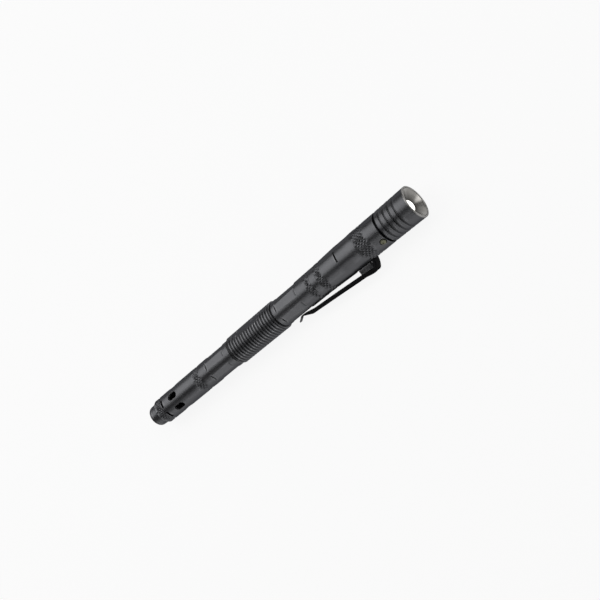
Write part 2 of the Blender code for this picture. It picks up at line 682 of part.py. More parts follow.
def make_clip_block(parent):
    """Block on the flat under the clip's root, with a counterbored hole, and its socket screw."""
    foot = BODY_END - CLIP_FOOT_FROM_END
    shape = bmesh.new()
    seat = block_seat() + FIT
    prism(shape, rectangle(block_end() - BLOCK_LENGTH, block_end(), BLOCK_WIDTH), seat,
          block_top(), radial_frame(CLIP_ANGLE))
    block = place_shape("clip_block", shape, parent, GUNMETAL)
    soft = block.modifiers.new("edge", 'BEVEL')
    soft.width = BLOCK_EDGE
    soft.segments = 1
    frame = radial_frame(CLIP_ANGLE, foot - SCREW_BACK)
    shoulder = block_top() - FIT - SCREW_HEAD_HEIGHT
    hole = bmesh.new()
    prism(hole, circle(SCREW_SHANK_RADIUS + FIT, SMALL_SIDES), seat - OVERCUT,
          block_top() + OVERCUT, frame)
    cut(block, "screw_hole", hole)
    sink = bmesh.new()
    prism(sink, circle(SCREW_HEAD_RADIUS + FIT, SMALL_SIDES), shoulder - FIT,
          block_top() + OVERCUT, frame)
    cut(block, "screw_counterbore", sink)

    top = shoulder + SCREW_HEAD_HEIGHT
    bottom = block_seat() - SCREW_DEPTH
    socket = top - SCREW_SOCKET_DEPTH
    outline = [(bottom, 0.0), (bottom, SCREW_SHANK_RADIUS), (shoulder, SCREW_SHANK_RADIUS),
               (shoulder, SCREW_HEAD_RADIUS), (top, SCREW_HEAD_RADIUS),
               (top, SCREW_SOCKET_RADIUS), (socket, SCREW_SOCKET_RADIUS), (socket, 0.0)]
    screw = turned("clip_screw", outline, SMALL_SIDES, parent, PLAIN_STEEL)
    upright = Matrix(((0.0, 0.0, -1.0), (0.0, 1.0, 0.0), (1.0, 0.0, 0.0))).to_4x4()
    screw.data.transform(frame @ upright)


def clip_outline():
    """Side view of the clip, as (station from its foot, height) points round its edge.

    Heights are radii on the pen: foot, leaning front, thick root, ramp, arm, kink and tip."""
    half = CLIP_FOOT_LENGTH / 2.0
    crown = BODY_HEAD_RADIUS + CLIP_HEIGHT
    root = -CLIP_ROOT_LENGTH
    ramp = root - CLIP_RAMP_LENGTH
    arm = crown - CLIP_RAMP_DROP
    kink = BODY_WAIST_RADIUS + CLIP_KINK_HEIGHT
    touch = BODY_TAIL_RADIUS - FLAT_DEPTH + FIT + CLIP_TIP_THICKNESS
    tip = touch + CLIP_TIP_RISE
    under_root = min(crown - CLIP_ROOT_THICKNESS, arm - CLIP_ARM_THICKNESS + FIT)
    under_root = max(under_root, block_top() + FIT)
    outer = [(half, BODY_HEAD_RADIUS - CLIP_FOOT_DEPTH), (half, BODY_HEAD_RADIUS + FIT),
             (half - CLIP_LEAN, crown), (root, crown - FIT), (ramp, arm),
             (-CLIP_KINK_BACK, kink), (-CLIP_TOUCH_BACK, touch), (-CLIP_TIP_BACK, tip)]
    inner = [(-CLIP_TIP_BACK, tip - CLIP_TIP_THICKNESS),
             (-CLIP_TOUCH_BACK, touch - CLIP_TIP_THICKNESS),
             (-CLIP_KINK_BACK, kink - CLIP_ARM_THICKNESS), (ramp, under_root),
             (-half - CLIP_LEAN / 2.0, under_root), (-half, BODY_HEAD_RADIUS + FIT),
             (-half, BODY_HEAD_RADIUS - CLIP_FOOT_DEPTH)]
    return outer + inner


def make_clip(parent):
    """Pocket clip, bent from one strip, narrower towards its tip, with a hole over the screw."""
    shape = bmesh.new()
    outline = clip_outline()
    sides = []
    for side in (-1.0, 1.0):
        row = []
        for station, height in outline:
            share = min(1.0, max(0.0, -station / CLIP_TIP_BACK))
            width = CLIP_WIDTH + (CLIP_TIP_WIDTH - CLIP_WIDTH) * share
            row.append(shape.verts.new((station, -height + BODY_HEAD_RADIUS, side * width / 2.0)))
        sides.append(row)
    shape.faces.new(sides[0])
    shape.faces.new(sides[1][::-1])
    for here in range(len(outline)):
        after = (here + 1) % len(outline)
        shape.faces.new((sides[0][here], sides[0][after], sides[1][after], sides[1][here]))
    clip = place_shape("clip", shape, parent, BLACK_STEEL)
    soft = clip.modifiers.new("edge", 'BEVEL')
    soft.width = CLIP_EDGE
    soft.segments = 1
    soft.limit_method = 'ANGLE'
    soft.angle_limit = math.radians(50.0)
    access = bmesh.new()
    frame = Matrix(((1.0, 0.0, 0.0), (0.0, 0.0, -1.0), (0.0, 1.0, 0.0))).to_4x4()
    frame = Matrix.Translation((-SCREW_BACK, 0.0, 0.0)) @ frame
    prism(access, circle(SCREW_ACCESS_RADIUS, SMALL_SIDES), 0.0, CLIP_HEIGHT + OVERCUT, frame)
    cut(clip, "screw_access", access)


def make_button(parent):
    """Side button on its own axis, its Z pointing out of the body: a flange and a domed stem."""
    flange_top = math.sqrt(BAY_RADIUS ** 2 - BUTTON_FLANGE_RADIUS ** 2) - FIT
    flange = flange_top - BUTTON_FLANGE_THICKNESS
    top = BODY_HEAD_RADIUS + BUTTON_PROUD
    outline = [(flange, 0.0), (flange, BUTTON_FLANGE_RADIUS), (flange_top, BUTTON_FLANGE_RADIUS),
               (flange_top, BUTTON_RADIUS), (top - BUTTON_EDGE, BUTTON_RADIUS),
               (top, BUTTON_RADIUS - BUTTON_EDGE), (top, 0.0)]
    button = turned("switch_button", outline, SMALL_SIDES, parent, OLIVE_METAL)
    upright = Matrix(((0.0, 0.0, -1.0), (0.0, 1.0, 0.0), (1.0, 0.0, 0.0))).to_4x4()
    button.data.transform(upright)
    return flange


def make_electronics(parent, button_floor):
    """Battery contact, driver board and the switch that the button presses."""
    contact_start = BATTERY_END + FIT
    rim = BAY_RADIUS - FIT
    disc = [(contact_start, CONTACT_HOLE_RADIUS), (contact_start, rim), (CONTACT_END, rim),
            (CONTACT_END, CONTACT_HOLE_RADIUS)]
    turned("battery_contact", disc, INNER_SIDES, parent, BRASS)

    switch_top = button_floor - BUTTON_TRAVEL - FIT / 3.0
    switch_floor = switch_top - SWITCH_TOP_HEIGHT - SWITCH_HEIGHT
    frame = radial_frame(BUTTON_ANGLE)
    station = BODY_END - BUTTON_FROM_END
    shape = bmesh.new()
    half = SWITCH_SIDE / 2.0
    prism(shape, rectangle(station - half, station + half, SWITCH_SIDE), switch_floor,
          switch_top - SWITCH_TOP_HEIGHT, frame)
    out = outwards(BUTTON_ANGLE)
    shape.normal_update()
    top = max(shape.faces, key=lambda face: face.calc_center_median().dot(out))
    bmesh.ops.inset_individual(shape, faces=[top], thickness=SWITCH_TOP_INSET)
    grown = bmesh.ops.extrude_discrete_faces(shape, faces=[top])["faces"]
    bmesh.ops.translate(shape, verts=grown[0].verts, vec=out * SWITCH_TOP_HEIGHT)
    place_shape("tact_switch", shape, parent, SWITCH_BLACK)

    board_top = switch_floor - FIT
    reach = math.sqrt((BAY_RADIUS - FIT) ** 2 - board_top ** 2)
    board = bmesh.new()
    prism(board, rectangle(BOARD_START, BOARD_END, 2.0 * reach), board_top - BOARD_THICKNESS,
          board_top, frame)
    place_shape("driver_board", board, parent, BOARD_GREEN)


def head_radius_at(station):
    return straight_between(HEAD_START, BODY_HEAD_RADIUS, HEAD_END, RIM_RADIUS)(station)


def make_head_shell(parent):
    """Head shell: a threaded skirt, the heat sink's bore, the retainer's bore, four grooves."""
    grooves = grooved(HEAD_START, HEAD_GROOVE_FIRST, HEAD_GROOVE_PITCH, HEAD_GROOVE_COUNT,
                      HEAD_GROOVE_WIDTH, HEAD_GROOVE_DEPTH, head_radius_at)
    outline = [(HEAD_START, SKIRT_BORE_RADIUS), (HEAD_START, BODY_HEAD_RADIUS - HEAD_EDGE),
               (HEAD_START + HEAD_EDGE, head_radius_at(HEAD_START + HEAD_EDGE))]
    outline += grooves
    outline += [(HEAD_END - HEAD_EDGE, RIM_RADIUS), (HEAD_END, RIM_RADIUS - HEAD_EDGE),
                (HEAD_END, MOUTH_RADIUS), (RETAINER_START - FIT, MOUTH_RADIUS),
                (RETAINER_START - FIT, SINK_BORE_RADIUS), (NECK_END + FIT, SINK_BORE_RADIUS),
                (NECK_END + FIT, SKIRT_BORE_RADIUS)]
    turned("head_shell", outline, SHELL_SIDES, parent, GUNMETAL)


def make_lens_group(parent):
    """Retainer with its polished cone, the domed lens and its seal."""
    pocket = LENS_RADIUS + FIT
    outline = [(RETAINER_START, pocket), (RETAINER_START, RETAINER_RADIUS),
               (RETAINER_END, RETAINER_RADIUS), (RETAINER_END, RETAINER_RADIUS - RETAINER_LIP),
               (APERTURE, APERTURE_RADIUS), (LENS_END + FIT, APERTURE_RADIUS),
               (LENS_END + FIT, pocket)]
    turned("lens_retainer", outline, SHELL_SIDES, parent, SATIN_METAL)

    dome = []
    for step in range(LENS_DOME_STEPS + 1):
        a = math.radians(90.0 * step / LENS_DOME_STEPS)
        dome.append((APERTURE - FIT + LENS_DOME_HEIGHT * math.sin(a),
                     LENS_DOME_RADIUS * math.cos(a)))
    dome[-1] = (dome[-1][0], 0.0)
    outline = [(LENS_START + LENS_POCKET_DEPTH, 0.0),
               (LENS_START + LENS_POCKET_DEPTH, LENS_POCKET_RADIUS),
               (LENS_START, LENS_POCKET_RADIUS), (LENS_START, LENS_RADIUS),
               (LENS_END, LENS_RADIUS), (LENS_END, LENS_DOME_RADIUS)] + dome
    turned("lens", outline, INNER_SIDES, parent, CLEAR_PLASTIC)
    seal = ring_shape(LENS_START - LED_ROOM / 2.0, LENS_RADIUS - SEAL_SECTION, SEAL_SECTION)
    place_shape("lens_seal", seal, parent, RUBBER)


def make_led_group(parent):
    """Heat sink, LED board, LED and the spring that feeds it from the driver board."""
    outline = [(SINK_START + SINK_RECESS_DEPTH, 0.0),
               (SINK_START + SINK_RECESS_DEPTH, SINK_RECESS_RADIUS),
               (SINK_START, SINK_RECESS_RADIUS), (SINK_START, SINK_RADIUS),
               (SINK_END, SINK_RADIUS), (SINK_END, 0.0)]
    turned("heat_sink", outline, INNER_SIDES, parent, BRASS)
    board_radius = SINK_RADIUS - LED_BOARD_MARGIN
    board = [(LED_BOARD_START, 0.0), (LED_BOARD_START, board_radius),
             (LED_BOARD_END, board_radius), (LED_BOARD_END, 0.0)]
    turned("led_board", board, INNER_SIDES, parent, BOARD_WHITE)

    base = LED_BOARD_END + FIT / 2.0
    base_top = base + LED_BASE_HEIGHT
    body = bmesh.new()
    side = LED_SIDE / 2.0
    upright = Matrix(((0.0, 0.0, 1.0), (0.0, 1.0, 0.0), (-1.0, 0.0, 0.0))).to_4x4()
    prism(body, rectangle(-side, side, LED_SIDE), base, base_top, upright)
    top = max(body.faces, key=lambda face: face.calc_center_median().x)
    for step in range(LED_DOME_STEPS):
        bmesh.ops.inset_individual(body, faces=[top], thickness=LED_DOME_INSET)
        rise = Vector((LED_DOME_RISE / (step + 1), 0.0, 0.0))
        bmesh.ops.translate(body, verts=top.verts, vec=rise)
    place_shape("led_emitter", body, parent, PHOSPHOR)

    end = SINK_START + SINK_RECESS_DEPTH - FIT
    coil("contact_spring", end - CONTACT_SPRING_LENGTH, CONTACT_SPRING_LENGTH,
         CONTACT_SPRING_RADIUS, CONTACT_SPRING_WIRE, CONTACT_SPRING_TURNS, parent, PLAIN_STEEL)


def main():
    clear_scene()
    pen = holder("pen_axis", None)
    pen.rotation_euler = (math.radians(REST_ROLL), 0.0, 0.0)

    cap_slide = holder("cap_slide", pen)
    make_tail_plug(cap_slide)
    make_cap(cap_slide)

    make_writing_end(pen)
    make_grip(pen)
    make_coupling(pen)
    make_battery(pen)
    make_body(pen)
    make_clip_block(pen)

    foot = (BODY_END - CLIP_FOOT_FROM_END, -BODY_HEAD_RADIUS, 0.0)
    make_clip(holder("clip_hinge", pen, foot))

    button_slide = holder("button_slide", pen, (BODY_END - BUTTON_FROM_END, 0.0, 0.0))
    button_slide.rotation_euler = (-math.radians(BUTTON_ANGLE), 0.0, 0.0)
    make_electronics(pen, make_button(button_slide))

    head_slide = holder("head_slide", pen)
    make_head_shell(head_slide)
    make_lens_group(head_slide)
    make_led_group(head_slide)
    bpy.context.view_layer.update()
    print("length", round(HEAD_END * 1000.0, 2), "mm")


main()
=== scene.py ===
import math

import bpy
from mathutils import Matrix, Vector


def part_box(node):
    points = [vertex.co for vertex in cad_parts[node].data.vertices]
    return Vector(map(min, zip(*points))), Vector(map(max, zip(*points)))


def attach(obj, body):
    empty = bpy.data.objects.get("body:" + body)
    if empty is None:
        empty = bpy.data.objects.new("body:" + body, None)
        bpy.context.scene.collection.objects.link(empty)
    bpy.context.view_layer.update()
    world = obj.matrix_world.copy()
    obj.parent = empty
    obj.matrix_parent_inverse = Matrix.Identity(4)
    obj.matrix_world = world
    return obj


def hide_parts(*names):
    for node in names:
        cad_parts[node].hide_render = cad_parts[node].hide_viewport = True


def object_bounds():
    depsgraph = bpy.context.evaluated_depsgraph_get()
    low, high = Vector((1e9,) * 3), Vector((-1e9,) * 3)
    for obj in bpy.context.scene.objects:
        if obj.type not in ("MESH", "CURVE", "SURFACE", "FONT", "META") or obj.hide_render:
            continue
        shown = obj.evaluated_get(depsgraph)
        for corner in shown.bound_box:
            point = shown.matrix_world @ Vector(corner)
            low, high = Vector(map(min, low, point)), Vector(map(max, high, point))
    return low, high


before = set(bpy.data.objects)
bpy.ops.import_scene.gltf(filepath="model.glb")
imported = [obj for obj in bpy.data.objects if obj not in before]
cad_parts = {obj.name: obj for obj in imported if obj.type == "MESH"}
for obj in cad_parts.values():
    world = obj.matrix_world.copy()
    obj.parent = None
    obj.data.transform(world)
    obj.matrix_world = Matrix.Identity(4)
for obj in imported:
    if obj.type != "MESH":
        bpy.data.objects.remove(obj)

SOLID_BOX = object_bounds()

# Lengths are in millimetres, stations are counted along the pen from its tail face,
# and angles go round the pen in degrees from its upper line
MM = 0.001
MICRON = 0.000001
ROLL = math.radians(25.4)
MIDDLE = 80.0

# Knurled bands from station to station, and the columns and depth of the knurl
TAIL_BAND = (5.5, 9.5)
MIDDLE_BAND = (31.0, 35.8)
REAR_BAND = (102.6, 105.7)
FRONT_BAND = (108.9, 112.7)
COLLAR_BAND = (131.1, 137.7)
KNURLED = (TAIL_BAND, MIDDLE_BAND, REAR_BAND, FRONT_BAND, COLLAR_BAND)
CAP_SIDES = 44
BODY_SIDES = 54
KNURL_DEPTH = 0.22

# Where the cuts, the clip, its screw and the button sit
MILLED_ANGLES = (-90, -30, 30, 90, 150, 210)
CLIP_ANGLE = -90
BUTTON_ANGLE = -35
BARE_FLAT_ANGLE = 62
SCREW_STATION = 129.0
BUTTON_STATION = 141.6

# Bores and shell radii that neighbouring pieces share
REFILL_BORE = 1.475
SCREW_HOLE = 1.0
SCREW_HEAD_HOLE = 1.6
CAP_BORE = 4.75
BATTERY_BORE = 4.45
BAY_BORE = 4.75
COUPLING_BORE = 4.9
NECK_RADIUS = 5.9
SKIRT_BORE = 6.2
SINK_BORE = 5.5
MOUTH_RADIUS = 6.6
COLLAR_RADIUS = 7.05

# How fine the pieces are: steps along a turned outline, cuts in a long cutter, and the
# angles in degrees above which an edge stays sharp
TURNED_STEP = 1.2
LONG_CUTTER = 3.0
LONG_CUTTER_CUTS = 9
SLOT_SIDES = 48
SHARP_CREASE = 12.0
TURNED_CREASE = 24.0
CONE_CREASE = 30.0
ROUND_CREASE = 40.0


# Modelling by hand

def select_only(piece):
    """Leaves one piece selected and active."""
    bpy.ops.object.select_all(action='DESELECT')
    piece.select_set(True)
    bpy.context.view_layer.objects.active = piece


def give_name(piece, name):
    """Names a piece and its mesh."""
    piece.name = name
    piece.data.name = name


def start_outline(name, station, radius):
    """A new piece of one point, in edit mode, where its outline starts."""
    bpy.ops.object.select_all(action='DESELECT')
    bpy.ops.mesh.primitive_plane_add(size=MM, location=(0.0, 0.0, 0.0))
    piece = bpy.context.object
    give_name(piece, name)
    bpy.ops.object.mode_set(mode='EDIT')
    bpy.ops.mesh.select_mode(type='VERT')
    bpy.ops.mesh.select_all(action='SELECT')
    bpy.ops.mesh.merge(type='CENTER')
    bpy.ops.transform.translate(value=(station * MM, 0.0, radius * MM))
    return piece


def draw_outline(outline, longest=math.inf):
    """Extrudes the chosen point along (station, height) points, in steps no longer than asked."""
    for (station, height), (next_station, next_height) in zip(outline, outline[1:]):
        pieces = max(1, math.ceil(math.hypot(next_station - station, next_height - height) / longest))
        step = ((next_station - station) * MM / pieces, 0.0, (next_height - height) * MM / pieces)
        for _ in range(pieces):
            bpy.ops.mesh.extrude_vertices_move(TRANSFORM_OT_translate={"value": step})


def close_up():
    """Merges what meets and turns the faces outwards."""
    bpy.ops.mesh.select_all(action='SELECT')
    bpy.ops.mesh.remove_doubles(threshold=MICRON)
    bpy.ops.mesh.normals_make_consistent(inside=False)
    bpy.ops.object.mode_set(mode='OBJECT')


def turned(name, outline, sides=64):
    """Piece turned about the pen's axis; an outline that doesn't reach the axis is closed."""
    piece = start_outline(name, *outline[0])
    if outline[0][1] > 0.0:
        outline = outline + [outline[0]]
    draw_outline(outline, TURNED_STEP)
    bpy.ops.mesh.select_all(action='SELECT')
    bpy.ops.mesh.spin(steps=sides, angle=2.0 * math.pi, center=(0.0, 0.0, 0.0),
                      axis=(1.0, 0.0, 0.0))
    close_up()
    return piece


def choose(piece, kind, wanted):
    """Selects the points or faces that a test wants, and leaves the piece in edit mode."""
    bpy.context.view_layer.objects.active = piece
    bpy.ops.object.mode_set(mode='EDIT')
    bpy.ops.mesh.select_mode(type=kind)
    bpy.ops.mesh.select_all(action='DESELECT')
    bpy.ops.object.mode_set(mode='OBJECT')
    parts = piece.data.vertices if kind == 'VERT' else piece.data.polygons
    for part in parts:
        part.select = wanted(part)
    bpy.ops.object.mode_set(mode='EDIT')


def rows(band, start_radius, end_radius, count):
    """Outline points of a knurled band, in even rows."""
    start, end = band
    shares = [row / count for row in range(count + 1)]
    return [(start + (end - start) * share, start_radius + (end_radius - start_radius) * share)
            for share in shares]


def knurl(piece, points, sides):
    """Diamond knurl: every second point of a band is pressed in, with folds between them."""
    row_at = {round(station * MM / MICRON): row for row, (station, _) in enumerate(points)}
    outside = 0.97 * min(radius for _, radius in points) * MM
    last = len(points) - 1
    step = 2.0 * math.pi / sides

    def pressed(point):
        row = row_at.get(round(point.co.x / MICRON))
        if row in (None, 0, last) or math.hypot(point.co.y, point.co.z) < outside:
            return False
        column = round(math.atan2(point.co.y, point.co.z) / step)
        return (row + column) % 2 == 0

    choose(piece, 'VERT', pressed)
    share = 1.0 - KNURL_DEPTH / points[0][1]
    bpy.ops.transform.resize(value=(1.0, share, share), center_override=(0.0, 0.0, 0.0))
    bpy.ops.mesh.vert_connect()
    bpy.ops.object.mode_set(mode='OBJECT')


def around(angle, station, height):
    """Place at a height above the axis, and the turn that stands a cutter upright there."""
    turn = math.radians(angle)
    place = (station * MM, math.sin(turn) * height * MM, math.cos(turn) * height * MM)
    return place, (-turn, 0.0, 0.0)


def bar(angle, start, end, width, floor, top, ramp=0.0):
    """Upright block cutter between two stations and two heights; a ramp slopes its far end."""
    place, turn = around(angle, (start + end) / 2.0, (floor + top) / 2.0)
    bpy.ops.mesh.primitive_cube_add(size=1.0, location=place, rotation=turn)
    block = bpy.context.object
    block.scale = ((end - start) * MM, width * MM, (top - floor) * MM)
    if end - start > LONG_CUTTER:
        bpy.ops.object.mode_set(mode='EDIT')
        bpy.ops.mesh.select_all(action='SELECT')
        bpy.ops.mesh.subdivide(number_cuts=LONG_CUTTER_CUTS)
        bpy.ops.object.mode_set(mode='OBJECT')
    if ramp:
        edge = 0.49
        choose(block, 'VERT', lambda point: point.co.x > edge and point.co.z > edge)
        bpy.ops.transform.translate(value=(ramp * MM, 0.0, 0.0))
        bpy.ops.object.mode_set(mode='OBJECT')
    return block


def drill(angle, station, radius, floor, top, sides=32):
    """Upright round cutter from a floor height to a top height."""
    place, turn = around(angle, station, (floor + top) / 2.0)
    bpy.ops.mesh.primitive_cylinder_add(vertices=sides, radius=radius * MM,
                                        depth=(top - floor) * MM, location=place, rotation=turn)
    return bpy.context.object


def slot_cutter(angle, station, length, width, floor, surface):
    """Round-ended slot cutter whose mouth flares just under the surface."""
    mouth_height = 0.5
    mouth_flare = 1.12
    bpy.ops.mesh.primitive_cylinder_add(vertices=SLOT_SIDES, radius=width / 2.0 * MM,
                                        depth=(surface - floor) * MM, location=(0.0, 0.0, 0.0),
                                        rotation=(0.0, 0.0, math.pi / SLOT_SIDES))
    cutter = bpy.context.object
    bpy.ops.object.transform_apply(rotation=True)
    choose(cutter, 'FACE', lambda face: face.normal.z > 0.9)
    bpy.ops.mesh.extrude_region_move(
        TRANSFORM_OT_translate={"value": (0.0, 0.0, mouth_height * MM)})
    bpy.ops.transform.resize(value=(mouth_flare, mouth_flare, 1.0),
                             center_override=(0.0, 0.0, 0.0))
    reach = (length - width) / 2.0 * MM
    for side in (1.0, -1.0):
        choose(cutter, 'VERT', lambda point: point.co.x * side > 0.0)
        bpy.ops.transform.translate(value=(side * reach, 0.0, 0.0))
    bpy.ops.object.mode_set(mode='OBJECT')
    place, turn = around(angle, station, (floor + surface) / 2.0)
    cutter.location = place
    cutter.rotation_euler = turn
    return cutter


def cut(piece, cutters):
    """Takes cutters that don't touch each other out of a piece."""
    select_only(cutters[0])
    for cutter in cutters:
        cutter.select_set(True)
    if len(cutters) > 1:
        bpy.ops.object.join()
    tool = bpy.context.object
    bpy.ops.object.transform_apply(location=True, rotation=True, scale=True)
    select_only(piece)
    cutting = piece.modifiers.new("cutting", 'BOOLEAN')
    cutting.operation = 'DIFFERENCE'
    cutting.solver = 'EXACT'
    cutting.object = tool
    bpy.ops.object.modifier_apply(modifier=cutting.name)
    bpy.data.objects.remove(tool, do_unlink=True)


def flats(start, end, floor, top, width=4.4, angles=MILLED_ANGLES, ramp=0.0):
    """Block cutters for a ring of milled flats or notches."""
    return [bar(angle, start, end, width, floor, top, ramp) for angle in angles]


def ribs(start, first, pitch, count, width, depth, radius_at):
    """Outline of turned round-bottomed grooves, with soft crests between them."""
    half = width / 2.0
    profile = ((-half - 0.14, 0.0), (-half, -0.06), (-half + 0.1, -0.7 * depth),
               (-half + 0.24, -depth), (half - 0.24, -depth), (half - 0.1, -0.7 * depth),
               (half, -0.06), (half + 0.14, 0.0))
    points = []
    for groove in range(count):
        centre = start + first + groove * pitch
        points += [(centre + x, radius_at(centre) + y) for x, y in profile]
    return points


def line_between(first, last):
    """What a station has on the straight line between two (station, value) points."""
    (start, low), (end, high) = first, last
    return lambda station: low + (high - low) * (station - start) / (end - start)


def dress(piece, material, body, node, crease=SHARP_CREASE):
    """Finishes a piece in the pen's own position, and puts it in its node's place."""
    select_only(piece)
    bpy.ops.object.shade_smooth_by_angle(angle=math.radians(crease))
    piece.rotation_euler = (ROLL, 0.0, 0.0)
    bpy.ops.object.transform_apply(location=True, rotation=True, scale=True)
    piece.data.materials.clear()
    piece.data.materials.append(material)
    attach(piece, body)
    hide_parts(node)


# Shader values written as arithmetic

# How a pattern is stretched: less than 1 draws it out along that axis
EVEN = (1.0, 1.0, 1.0)
TURNED = (1.0, 0.02, 0.02)
DRAWN = (0.05, 1.0, 1.0)

# Sockets of a Mix node that mixes colours
MIX_FACTOR = 0
MIX_FIRST = 6
MIX_SECOND = 7
MIX_RESULT = 2


class Value:
    """One shader value; arithmetic on it adds the nodes that work it out."""

    def __init__(self, shading, socket):
        self.shading = shading
        self.socket = socket

    def calculate(self, operation, *others):
        """Math node that takes this value first."""
        return self.shading.node('ShaderNodeMath', {"operation": operation},
                                 dict(enumerate((self, *others))))

    def __add__(self, other):
        return self.calculate('ADD', other)

    __radd__ = __add__

    def __rsub__(self, other):
        return self.shading.node('ShaderNodeMath', {"operation": 'SUBTRACT'}, {0: other, 1: self})

    def __mul__(self, other):
        return self.calculate('MULTIPLY', other)

    __rmul__ = __mul__

    def __truediv__(self, other):
        return self.calculate('DIVIDE', other)

    def between(self, low, high):
        """0 at low, 1 at high, and a straight run between them."""
        return self.shading.node('ShaderNodeMapRange', {"clamp": True},
                                 {"Value": self, "From Min": low, "From Max": high})

    def output(self, name):
        """Another output of the same node."""
        return Value(self.shading, self.socket.node.outputs[name])


class Shading:
    """The nodes of a material or of the surround."""

    def __init__(self, tree):
        self.tree = tree

    def node(self, kind, settings, sockets, output=0):
        """Adds a node, sets it, and returns one of its outputs as a value."""
        made = self.tree.nodes.new(kind)
        for setting, value in settings.items():
            if setting == "stops":
                set_stops(made.color_ramp.elements, value)
            else:
                setattr(made, setting, value)
        for socket, value in sockets.items():
            if isinstance(value, Value):
                self.tree.links.new(value.socket, made.inputs[socket])
            else:
                made.inputs[socket].default_value = value
        return Value(self, made.outputs[output])


def set_stops(elements, stops):
    """Gives a ramp its stops, as (position, grey) from first to last."""
    elements[0].position = stops[0][0]
    elements[-1].position = stops[-1][0]
    for position, _ in stops[1:-1]:
        elements.new(position)
    for element, (_, grey) in zip(elements, stops):
        element.color = (grey, grey, grey, 1.0)


class Finish(Shading):
    """A material under construction, with its shader and its place on the pen."""

    def __init__(self, name, **constants):
        self.material = bpy.data.materials.new(name)
        self.material.use_nodes = True
        super().__init__(self.material.node_tree)
        self.shader = self.tree.nodes["Principled BSDF"]
        for socket, value in constants.items():
            self.shader.inputs[socket.replace("_", " ")].default_value = value

    def feed(self, socket, value):
        """Links a value to a socket of the shader."""
        self.tree.links.new(value.socket, self.shader.inputs[socket])

    def place(self, stretch):
        """Point on the piece, unrolled so that Z is the pen's upper line, and stretched."""
        here = self.node('ShaderNodeTexCoord', {}, {}, "Object")
        level = self.node('ShaderNodeMapping', {}, {"Vector": here, "Rotation": (-ROLL, 0.0, 0.0)})
        if stretch == EVEN:
            return level
        return self.node('ShaderNodeVectorMath', {"operation": 'MULTIPLY'}, {0: level, 1: stretch})

    def axes(self):
        """Place along the pen, across it and above it, in metres."""
        split = self.node('ShaderNodeSeparateXYZ', {}, {"Vector": self.place(EVEN)})
        return [split.output(axis) for axis in "XYZ"]

    def station(self):
        """Distance along the pen from its tail face, in metres."""
        return self.axes()[0]

    def radius(self):
        """Distance from the pen's axis, in metres."""
        _, side, up = self.axes()
        return (side * side + up * up).calculate('SQRT')

    def noise(self, size, detail, stretch=EVEN):
        """Cloudy noise from 0 to 1, in features of about the given size in millimetres."""
        return self.node('ShaderNodeTexNoise', {},
                         {"Vector": self.place(stretch), "Scale": 1.0 / MM / size,
                          "Detail": detail})

    def edges(self, low, high):
        """Mask from how sharply the surface bends: above 0.5 on outer edges, below it in grooves."""
        bend = self.node('ShaderNodeNewGeometry', {}, {}, "Pointiness")
        return bend.between(low, high)

    def tint(self, mask, low, high):
        """Colour that runs from low to high with a mask."""
        first, second = (colour if isinstance(colour, Value) else (*colour, 1.0)
                         for colour in (low, high))
        sockets = {MIX_FACTOR: mask, MIX_FIRST: first, MIX_SECOND: second}
        return self.node('ShaderNodeMix', {"data_type": 'RGBA'}, sockets, MIX_RESULT)

    def bump(self, height, distance, strength):
        """Relief whose full height is a distance in millimetres."""
        raised = self.node('ShaderNodeBump', {}, {"Height": height, "Strength": strength,
                                                  "Distance": distance * MM}, "Normal")
        self.feed("Normal", raised)


# Finishes

def anodised_aluminium():
    """Dark gunmetal anodising: lighter on its edges from rubbed wear and a painted highlight, with
    painted shade in its grooves and a painted highlight at the rim.
    """
    finish = Finish("gunmetal_anodising", Metallic=0.95, Specular_Tint=(0.32, 0.32, 0.33, 1.0))
    lathe = finish.noise(0.09, 2.0, TURNED)
    blast = finish.noise(0.13, 2.0)
    cloud = finish.noise(7.0, 3.0)
    station = finish.station()
    # Lighter edges: rubbed wear and a painted edge highlight.
    wear_and_edge_highlight = finish.edges(0.53, 0.61)
    # Painted shade: near-black colour and a rougher finish in grooves and hollows, weakened inside
    # the knurled bands.
    painted_groove_shade = finish.edges(0.475, 0.42)
    fade = 0.3
    for start, end in KNURLED:
        front = station.between((start - fade) * MM, start * MM)
        back = station.between((end + fade) * MM, end * MM)
        painted_groove_shade = painted_groove_shade * (1.0 - 0.8 * (front * back))
    # Painted highlight: the head's rim is lightened as if it caught the light.
    rim = station.between(159.4 * MM, 159.8 * MM)
    base = finish.tint(cloud, (0.088, 0.089, 0.094), (0.112, 0.113, 0.118))
    base = finish.tint(painted_groove_shade * 0.85, base, (0.012, 0.012, 0.013))
    base = finish.tint(wear_and_edge_highlight * 0.6, base, (0.30, 0.30, 0.305))
    finish.feed("Base Color", finish.tint(rim, base, (0.33, 0.325, 0.315)))
    finish.feed("Roughness", 0.27 + 0.08 * lathe + 0.06 * blast + 0.05 * cloud + 0.15 * painted_groove_shade)
    finish.bump(lathe * 0.5 + blast * 0.5, 0.010, 0.5)
    return finish.material


def machined_nib():
    """Lighter machined metal of the nose inside the cap."""
    finish = Finish("machined_nib", Metallic=0.9)
    lathe = finish.noise(0.10, 2.0, TURNED)
    cloud = finish.noise(3.0, 3.0)
    finish.feed("Base Color", finish.tint(cloud, (0.30, 0.30, 0.31), (0.42, 0.42, 0.43)))
    finish.feed("Roughness", 0.30 + 0.12 * lathe)
    finish.bump(lathe, 0.008, 0.4)
    return finish.material


